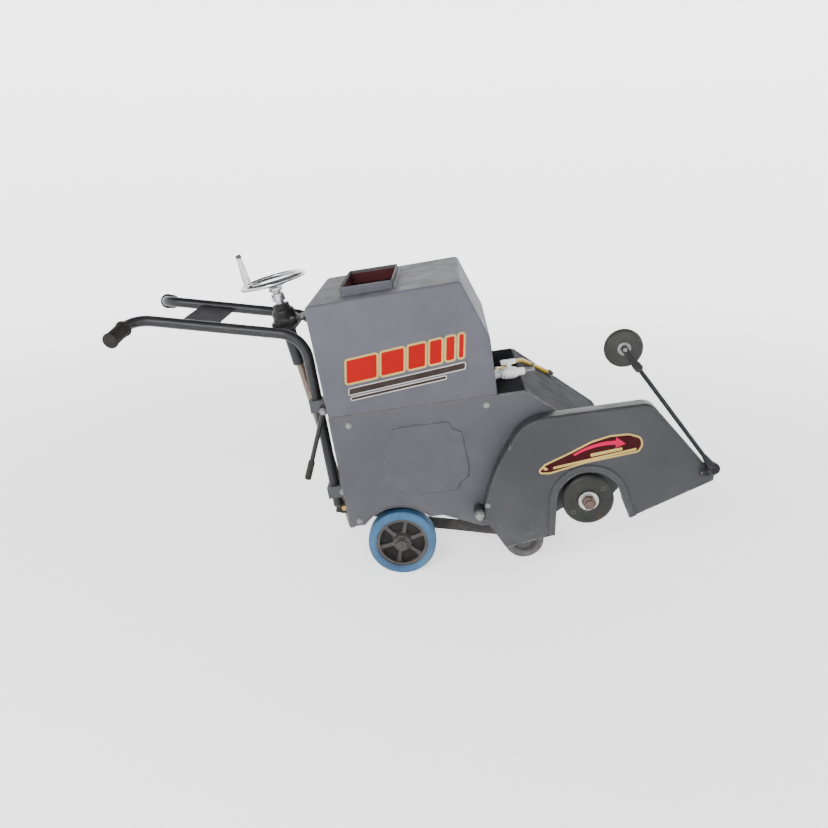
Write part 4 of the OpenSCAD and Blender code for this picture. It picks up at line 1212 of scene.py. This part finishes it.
def make_pointer():
    way = unit((WHEEL_AT[0] - PIN[0], 0, WHEEL_AT[1] - PIN[1]))
    reach = math.dist(PIN, WHEEL_AT)
    foot = np.array([PIN[0], POINTER_Y, PIN[1]])
    side = np.cross(way, RIGHT_OUT)
    hub = bored([(8.1, -7), (15, -7), (17, -5), (17, 5), (15, 7), (8.1, 7)], 1, 2, 48, foot,
                RIGHT_OUT)
    neck = np.array([foot + way * d for d in np.linspace(13, 44, 12)])
    rod = np.array([foot + way * d for d in np.linspace(36, reach - 66, 30)])
    shells = [hub, sweep(neck, np.linspace(11.5, 7.4, 12), 24), sweep(rod, 6.0, 24),
              weld([foot + way * 46 + side * 3, foot + way * 46 - side * 3], 3.0)]
    # Fork: a bridge and two cheeks with round ends
    tip = reach - 64
    cheek = eased([(-4, -11), (44, -8), (72, -9), (76, 0), (72, 9), (44, 8), (-4, 11)], 4, 4)
    for y in (-19, 15):
        flat = slab(cheek, -y - 4, -y, 1.0)
        shells.append(put(flat, foot * [1, 0, 1] + way * tip + [0, POINTER_Y, 0], RIGHT_OUT, way))
    bridge = block((-18.9, -11.5, -4), (18.9, 11.5, 4), 3)
    shells.append(put(bridge, foot + way * (tip + 0.2), way, (0, 1, 0)))
    collar = [(0.1, -9), (9, -9), (11, -6), (11, 2), (0.1, 2)]
    shells.append(put(lathe(softly(collar, 1, 2), 32), foot + way * (tip - 3), way))
    piece("pointer_rod", shells, "black_paint", "pointer_arm", cad="pointer_arm",
          slot="tube_black")
    at = np.array([WHEEL_AT[0], POINTER_Y, WHEEL_AT[1]])
    pin = bolt(at + [0, -19, 0], RIGHT_OUT, 5.4, 3.0, 0.6)[1:] + \
        bolt(at + [0, 19, 0], LEFT_OUT, 5.4, 3.0, 0.6)[1:]
    pin.append(turned([(4.9, -20), (4.9, 20)], 0, 1, 24, at, RIGHT_OUT))
    piece("pointer_axle", pin, "zinc", "pointer_arm")
    tread = tyre_profile(50, 17, 11, 4.5, 1.2)
    step = [(44, 11), (42, 9.6), (27, 9.6), (24, 11.4), (17, 11.4)]
    section = np.vstack([[(r, -h) for r, h in step[::-1]], tread[6:-6],
                         [(r, h) for r, h in step]])
    piece("pointer_wheel_rubber", put(ring(section, 72), at, RIGHT_OUT), "pointer_rubber",
          "pointer_wheel", cad="pointer_wheel", sharp=45)
    hubs = ring(eased([(5.2, -13.4), (12, -13.4), (17.5, -11), (17.5, 11), (12, 13.4),
                       (5.2, 13.4)], 0.8, 2), 48)
    piece("pointer_wheel_hub", put(hubs, at, RIGHT_OUT), "spigot_grey", "pointer_wheel",
          slot="pointer_rubber")


make_pointer()

# ---------- depth screw ----------

WHEEL_Z = 783.0
CRANK_AT = ray(232, 90)
LEAD = 6.0


def make_depth_screw():
    body = "depth_screw"
    # Thread: radius falls and rises once for each 6 mm of height less the turn round
    sides = 28
    h = np.arange(-34, 640, 1.0)
    t = circle(sides)
    phase = (h[:, None] / LEAD - t / (2 * math.pi)) % 1.0
    r = 12.0 - 1.7 * np.clip(np.abs(phase - 0.5) * 4 - 0.6, 0, 1)
    ends = np.minimum(h + 34, 8.0)[:, None] / 8.0
    r = r - 2.0 * (1 - ends)
    rings = np.stack([r * np.cos(t), r * np.sin(t), np.repeat(h[:, None], sides, 1)], -1)
    upper = lathe(softly([(0.1, 640), (12, 640), (12, 656), (12.5, 658), (12.5, 722),
                                   (19, 722), (19, 744), (13, 745), (12.4, 747), (12.4, 768),
                                   (0.1, 768)], 1.0, 2), 48)
    piece("depth_screw_thread", rings_to_shell(rings), "screw_steel", body, screw,
          cad="depth_screw", sharp=60, slot="steel")
    piece("depth_screw_neck", upper, "chrome", body, screw)
    # Dished handwheel: broad oval rim, three curved arms, turned hub
    a = np.linspace(0, 2 * math.pi, 25)[:-1]
    rim = np.stack([86.5 + 11.2 * np.cos(a), 0.6 + 7.2 * np.sin(a) - 2.2 * np.cos(a)], -1)
    shells = [ring(rim, 120)]
    s = np.linspace(0, 1, 18)
    for k in (30, 150, 270):
        way = np.array(ray(k, 1, 0))
        path = way * (14 + 66 * s)[:, None]
        path[:, 2] = -17 + 15.5 * s * s * (3 - 2 * s)
        shells.append(sweep(path, 10.5 - 3.0 * s, 20, first=np.cross((0, 0, 1), way), thick=0.42))
    hub = [(12.6, -32), (17.5, -32), (20, -29.5), (20, -22), (18.6, -20.5), (18.6, -16),
           (20, -14.5), (20, -8), (16, -2.5), (12.6, -2)]
    shells.append(ring(eased(hub, 0.9, 2), 64))
    shells.append(put(hexagon(14, 9, 8, 1.0), (0, 0, -11)))
    shells.append(turned([(3.9, 0), (3.9, 64)], 0.8, 2, 24, (*CRANK_AT, 1)))
    moved = [put(shell, (0, 0, WHEEL_Z)) for shell in shells]
    piece("handwheel_casting", moved, "chrome", body, screw, cad="handwheel", sharp=40)
    grip = [(4.2, 0.2), (9, 0), (12, 1.2), (12, 6), (10.4, 8.5), (10.4, 14), (10.9, 24),
            (10.4, 40), (9.2, 58), (7.9, 76), (7.5, 82), (4.2, 82)]
    at = (*CRANK_AT, WHEEL_Z + 8.4)
    piece("crank_sleeve", put(ring(softly(grip, 1.2, 3), 56), at), "chrome", "crank_handle", screw,
          cad="crank_handle")
    tip = softly([(0.1, 80), (6.8, 80), (7.9, 83), (7.9, 88), (6, 91.4), (0.1, 91.6)], 1.2, 3)
    piece("crank_end", put(lathe(tip, 40), at), "cap_plastic", "crank_handle", screw)


def make_column():
    softened("column_bracket", 2.5, "black_paint", segments=3, slot="tube_black")
    base = 654.0
    shells = [put(slab(eased(rectangle(-38, -38, 38, 38), 9, 5), 0, 12, 1.6,
                       [arc((0, 0), 13.6, 0, 360, 32)[:-1]]), (0, 0, base))]
    cup = eased([(12.8, 11), (36, 11), (34, 17), (34, 34), (31.5, 41), (27, 44), (24.5, 48),
                 (24, 59), (12.8, 60)], 1.6, 3)
    shells.append(put(ring(cup, 72), (0, 0, base)))
    for k in range(4):
        rib = [ray(45 + 90 * k, 22, base + 30), ray(45 + 90 * k, 36, base + 14)]
        shells.append(sweep(spaced(rib, 3), 4.2, 12))
    piece("column_bearing_casting", shells, "bearing_iron", place=screw, cad="column_bearing")
    bolts = []
    for x in (-27, 27):
        for y in (-27, 27):
            bolts += bolt((x, y, base + 12), (0, 0, 1), 6, 4.6, 1.2)
    bolts += bolt((-1.5, 24, base + 54), (0, 1, 0), 4, 3, 0.6)
    piece("column_bolts", bolts, "zinc", place=screw)
    tube = eased([(14.1, 0), (18.4, 0), (20, 2), (20, 118), (14.1, 119.6)], 0.8, 2)
    piece("column_sleeve", [put(ring(tube, 56), (0, 0, 526)),
                            weld(level(arc((0, 0), 20.4, 0, 360, 59), 645), 2.6)], "tube_black",
          place=screw, cad="column_tube")
    softened("screw_nut", 1.2, "nut_bronze", "screw_nut")


make_depth_screw()
make_column()

# ---------- handlebars ----------

BAR = [(-179.0, -130.0, 108.0), (-179.0, -130.0, 632.0), (-640.0, -132.0, 749.0),
       (-662.0, -262.0, 724.0)]


def make_handlebars():
    route = spaced(bent(BAR, [85, 55], 18), 7)
    a, b = np.array(BAR[2]), np.array(BAR[3])
    way = unit(b - a)
    ribs = [(15.1, -75.5), (22, -75.5), (23, -74.5), (23, -71.5), (21.8, -70)]
    for k in range(11):
        s = -67.5 + 5.6 * k
        ribs += [(19.0, s - 1.0), (20.0, s + 0.4), (20.0, s + 2.6), (19.0, s + 4.0)]
    ribs += [(19.6, -3), (22, -1.8), (22, 3.2), (20, 5.2), (15, 5.9), (15.1, 0)]
    for name, side in SIDES:
        piece("handlebar_%s_tube" % name, [on_side(side, sweep(route, 15.0, 32))], "tube_black",
              cad="handlebar_" + name)
        cap = turned([(15, -2), (15, 5.4), (9, 6.0)], 1, 2, 40, b, way)
        grip = put(ring(ribs, 56), b, way)
        piece("grip_%s_rubber" % name, [on_side(side, grip), on_side(side, cap)], "grip_rubber",
              cad="grip_" + name, sharp=50)
        foot = turned([(15.4, 0), (15.4, 5)], 1.4, 2, 32,
                      np.array(BAR[0]) * [1, 1, 1] + [0, 0, -0.4])
        piece("handlebar_%s_plug" % name, on_side(side, foot), "cap_plastic")
    # The handlebar plate wears the darker copy of the shell's grey: painted shade
    softened("handlebar_plate", 0.9, "plate_shaded_paint", slot="shell_paint")
    u = unit((BAR[2][0] - BAR[1][0], 0, BAR[2][2] - BAR[1][2]))
    start = np.array(BAR[1]) * [1, 0, 1]
    seams = []
    for s in (-1, 1):
        for lift in (2.4, -2.4):
            n = np.array([-u[2], 0, u[0]]) * lift * -1
            seams.append(weld([start + u * 253 + n + [0, s * (130 - 14.6), 0],
                               start + u * 352 + n + [0, s * (130 - 14.6), 0]], 2.0))
    piece("handlebar_plate_welds", seams, "tube_black")
    softened("leg_clamps", 2.4, "shell_paint", segments=3)
    nuts = []
    for s, z in ((-1, 158), (1, 158), (1, LEVER_PIN[2])):
        nuts += bolt((CLAMP_BOLT_X, s * 152, z), (0, s, 0), 8, 6, 1.6)
        nuts += bolt((CLAMP_BOLT_X, s * 108, z), (0, -s, 0), 8, 6, 1.6)
    piece("clamp_bolts", nuts, "zinc")


make_handlebars()


def make_clamp_lever():
    body = "clamp_lever"
    top, low = np.array(LEVER_PIN, float), np.array([-239.0, -188, 232])
    rod = np.array([top + (low - top) * s for s in np.linspace(0.05, 0.97, 30)])
    eye = bored([(5.1, -8), (12.5, -8), (14, -6.5), (14, 6.5), (12.5, 8), (5.1, 8)], 0.8, 2, 44,
                top, RIGHT_OUT)
    piece("clamp_lever_rod", [sweep(rod, 6.9, 24), eye], "tube_black", body, cad="clamp_lever")
    way = unit(low - top)
    sleeve = [(6.9, 0), (8.6, 0)]
    for k in range(8):
        s = 3 + 6.4 * k
        sleeve += [(9.1, s), (10.0, s + 1.2), (10.0, s + 3.6), (9.1, s + 4.8)]
    sleeve += [(9.6, 55), (8, 57.0), (6.9, 57.0)]
    at = np.array([-218.0, -188, 281])
    end = turned([(9.0, 50), (9.0, 57), (7.4, 58)], 0, 1, 32, at, way)
    piece("clamp_lever_sleeve", [put(ring(sleeve, 40), at, way), end], "grip_rubber", body,
          sharp=50, slot="tube_black")


make_clamp_lever()

# ---------- water ----------

SLOPE = math.atan2(412 - 192, 650 - 408)
HOSE_R = 6.0


def on_slope(x, lift=0.0):
    return 412 - (x - 408) * math.tan(SLOPE) + (HOSE_R + 0.3) / math.cos(SLOPE) + lift


HOSE = [(340, -76, 432), (340, -40, 432), (356, -8, 420.6), (398, 44, 422.6),
        (424, 84, on_slope(424, 6.8)), (488, 182, on_slope(488)), (516, 196, on_slope(516))]


def make_water():
    barrel = [(0.1, 0), (13, 0), (13, 7), (11, 8), (11, 20), (14.5, 22), (14.5, 27), (17, 30),
              (17, 58), (14.5, 61), (14.5, 66), (11, 68), (11, 84), (9.5, 87), (9.5, 88),
              (0.1, 88)]
    nose = [(0.1, 87)]
    for k in range(5):
        nose += [(7.0, 88.5 + 5.2 * k), (8.0, 92.5 + 5.2 * k), (7.0, 93.2 + 5.2 * k)]
    nose += [(5.2, 115.8), (0.1, 115.8)]
    body = put(lathe(softly(barrel, 1.2, 3), 56), VALVE_AT, (1, 0, 0))
    stem = turned([(9, 0), (9, 8), (7, 9.5), (7, 15)], 0.8, 2, 36, (STEM_X, VALVE_AT[1], 441))
    port = turned([(8, 0), (8, 20), (9.6, 21), (9.6, 24)], 0.6, 2, 36, (340, *VALVE_AT[1:]),
                  LEFT_OUT)
    flats = [put(hexagon(15.6, 6, 8), (352, *VALVE_AT[1:]), (1, 0, 0)),
             put(hexagon(15.6, 6, 8), (390, *VALVE_AT[1:]), (1, 0, 0))]
    piece("water_valve_body", [body, stem, port] + flats, "valve_white", cad="water_valve")
    piece("water_spigot", put(lathe(nose, 40), VALVE_AT, (1, 0, 0)), "spigot_grey", sharp=25,
          slot="valve_white")
    bar = eased([(-22, -4.2), (-12, -5), (12, -5), (22, -4.2), (22, 4.2), (12, 5), (-12, 5),
                 (-22, 4.2)], 3.2, 4)
    tee = [turned([(9, 0), (9, 6), (7, 8)], 0.8, 2, 36, (STEM_X, VALVE_AT[1], 456.5)),
           put(slab(bar, 1.7, 15.4, 2.4, (), 4), (STEM_X, VALVE_AT[1], 456.5))]
    piece("valve_tee", tee, "valve_white", "valve_handle", cad="valve_handle")
    route = spaced(bent(HOSE, [24, 28, 60, 60, 40], 10), 4)
    piece("water_hose_tube", sweep(route, HOSE_R, 28), "hose_yellow", cad="water_hose")
    clips = []
    for i in (3, 5):
        p, q = np.array(HOSE[i]), np.array(HOSE[i - 1])
        c, d = (p + q) / 2, unit(q - p)
        up = np.array([math.sin(SLOPE), 0, math.cos(SLOPE)]) if i == 5 else np.array([0, 0, 1.0])
        across_it = unit(np.cross(d, up))
        line = [c + across_it * s - up * h for s, h in
                ((-19, 8.4), (-12, 8.4), (-9.6, 5), (-8.2, -1), (-5, -6), (0, -7.8), (5, -6),
                 (8.2, -1), (9.6, 5), (12, 8.4), (19, 8.4))]
        clips.append(sweep(spaced(line, 2), 5.5, 16, first=d, thick=0.22))
        for s in (-15, 15):
            clips += bolt(c + across_it * s - up * 7.4, up, 3.6, 2.6, 0.4)
    c = np.array(HOSE[6])
    n = np.array([math.sin(SLOPE), 0, math.cos(SLOPE)])
    elbow = [(0.1, -6.2), (14, -6.2), (14, -3.4), (11, -1.8), (11, 8), (8, 10), (0.1, 10)]
    clips.append(put(lathe(softly(elbow, 0.9, 2), 36), c, n))
    piece("hose_saddles", clips, "cap_plastic", cad="hose_clips")


make_water()

# ---------- engine ----------


def make_engine():
    tank = block((-94, -174, 566), (194, 154, 688), 30, 6)
    neck = turned([(26, 0), (26, 10), (24, 12), (24, 18)], 1, 2, 48, (18, -10, 686))
    piece("fuel_tank_shell", [tank, neck], "tank_red", cad="fuel_tank")
    belt = eased(rectangle(-94.8, -174.8, 194.8, 154.8), 32, 8)
    line = level(belt, 626.0)
    piece("fuel_tank_seam", sweep(np.vstack([line, line[:1]]), 2.2, 8), "tank_red")
    t = circle(72)
    knurl = 31.4 + 1.5 * np.cos(12 * t)
    rows = [(0.5, 0), (0.94, 0), (1.0, 1.5), (1.0, 11), (0.95, 13), (0.72, 14), (0.66, 12.6),
            (0.2, 12.6)]
    rings = [np.stack([knurl * k * np.cos(t), knurl * k * np.sin(t), np.full(72, h)], -1)
             for k, h in rows]
    piece("fuel_cap_knob", put(rings_to_shell(np.array(rings)), (18, -10, 704.4)), "cap_plastic",
          "fuel_cap", cad="fuel_cap")
    for node, width, material, segments in (
            ("engine_block", 2.5, "engine_black", 2), ("cylinder_head", 2.5, "engine_alloy", 2),
            ("recoil_cover", 3.0, "engine_black", 3), ("muffler", 4.0, "muffler_steel", 3),
            ("air_cleaner", 5.0, "filter_plastic", 3), ("drive_belts", 1.0, "belt_rubber", 2)):
        softened(node, width, material, segments=segments)
    for node, width, material in (("crankshaft", 0.8, "steel"), ("flywheel", 1.0, "engine_alloy"),
                                  ("drive_pulley", 0.8, "flange_iron")):
        softened(node, width, material, "engine_shaft")
    # Near-black patches where the recoil cover's vents are: painted shade in the openings
    shells = []
    for k in range(12):
        across_it, up_it = ray(30 * k)
        c = (90 + 84 * across_it, -168.2, 242 + 84 * up_it)
        vent = eased(rectangle(-11, -2.4, 11, 2.4), 2.2, 3)
        shells.append(put(slab(vent, -0.4, 0.6, 0.2, (), 1), c, RIGHT_OUT,
                          (across_it, 0, up_it)))
    piece("recoil_vent_shade", shells, "shade_black", slot="engine_black")


make_engine()

# ---------- the rest of the room ----------

GLOW_NEAR, GLOW_FAR = 0.95, 1.75
FLAT_R, BEND_R, WALL_TOP = 5.0, 2.0, 4.5  # metres


def make_stage():
    """Floor that turns up into a round wall: flat, then a quarter circle, then upright."""
    rise = np.radians(np.linspace(0, 90, 19))
    profile = [(0.02, 0.0), (1.0, 0.0), (2.5, 0.0), (FLAT_R, 0.0)]
    profile += [(FLAT_R + BEND_R * math.sin(a), BEND_R * (1 - math.cos(a))) for a in rise[1:]]
    profile.append((FLAT_R + BEND_R, WALL_TOP))
    points, faces = lathe(profile, 96, "pole", "open")
    mesh = bpy.data.meshes.new("floor")
    mesh.from_pydata(points.tolist(), [], faces)
    mesh.polygons.foreach_set("use_smooth", np.ones(len(mesh.polygons), bool))
    floor = bpy.data.objects.new("floor", mesh)
    bpy.context.scene.collection.objects.link(floor)
    material = bpy.data.materials.new("pale_floor")
    material.use_nodes = True
    tree = material.node_tree
    board = Board(tree)
    shader = tree.nodes["Principled BSDF"]
    shader.inputs["Base Color"].default_value = (0.95, 0.95, 0.95, 1)
    shader.inputs["Roughness"].default_value = 0.9
    shader.inputs["Specular IOR Level"].default_value = 0.0
    place = board.add("ShaderNodeTexCoord").outputs["Object"]
    far = board.add("ShaderNodeVectorMath", {"operation": "LENGTH"}, i0=place).outputs["Value"]
    glow = board.blend(board.band(far, 0.9, 4.5), (GLOW_NEAR,) * 3, (GLOW_FAR,) * 3)
    tree.links.new(glow, shader.inputs["Emission Color"])
    shader.inputs["Emission Strength"].default_value = 1.0
    mesh.materials.append(material)


def make_light(name, at, aim, size, power):
    data = bpy.data.lights.new(name, "AREA")
    data.shape, data.size, data.size_y, data.energy = "RECTANGLE", size[0], size[1], power
    lamp = bpy.data.objects.new(name, data)
    lamp.location = at
    lamp.rotation_euler = (Vector(aim) - Vector(at)).to_track_quat("-Z", "Y").to_euler()
    bpy.context.scene.collection.objects.link(lamp)


make_stage()
make_light("key", (-1.3, -3.6, 2.7), (0, 0, 0.4), (1.5, 1.1), 150)
make_light("fill", (2.6, -3.4, 1.8), (0.2, 0, 0.4), (2.2, 1.8), 10)
make_light("top", (0.2, 0.6, 3.6), (0, 0, 0.3), (3.2, 2.4), 5)
make_light("back", (0.8, 3.6, 2.4), (0, 0, 0.5), (3.0, 1.8), 20)
world = bpy.data.worlds.new("studio")
world.use_nodes = True
world.node_tree.nodes["Background"].inputs[0].default_value = (1.0, 1.0, 1.0, 1)
world.node_tree.nodes["Background"].inputs[1].default_value = 0.12
bpy.context.scene.world = world
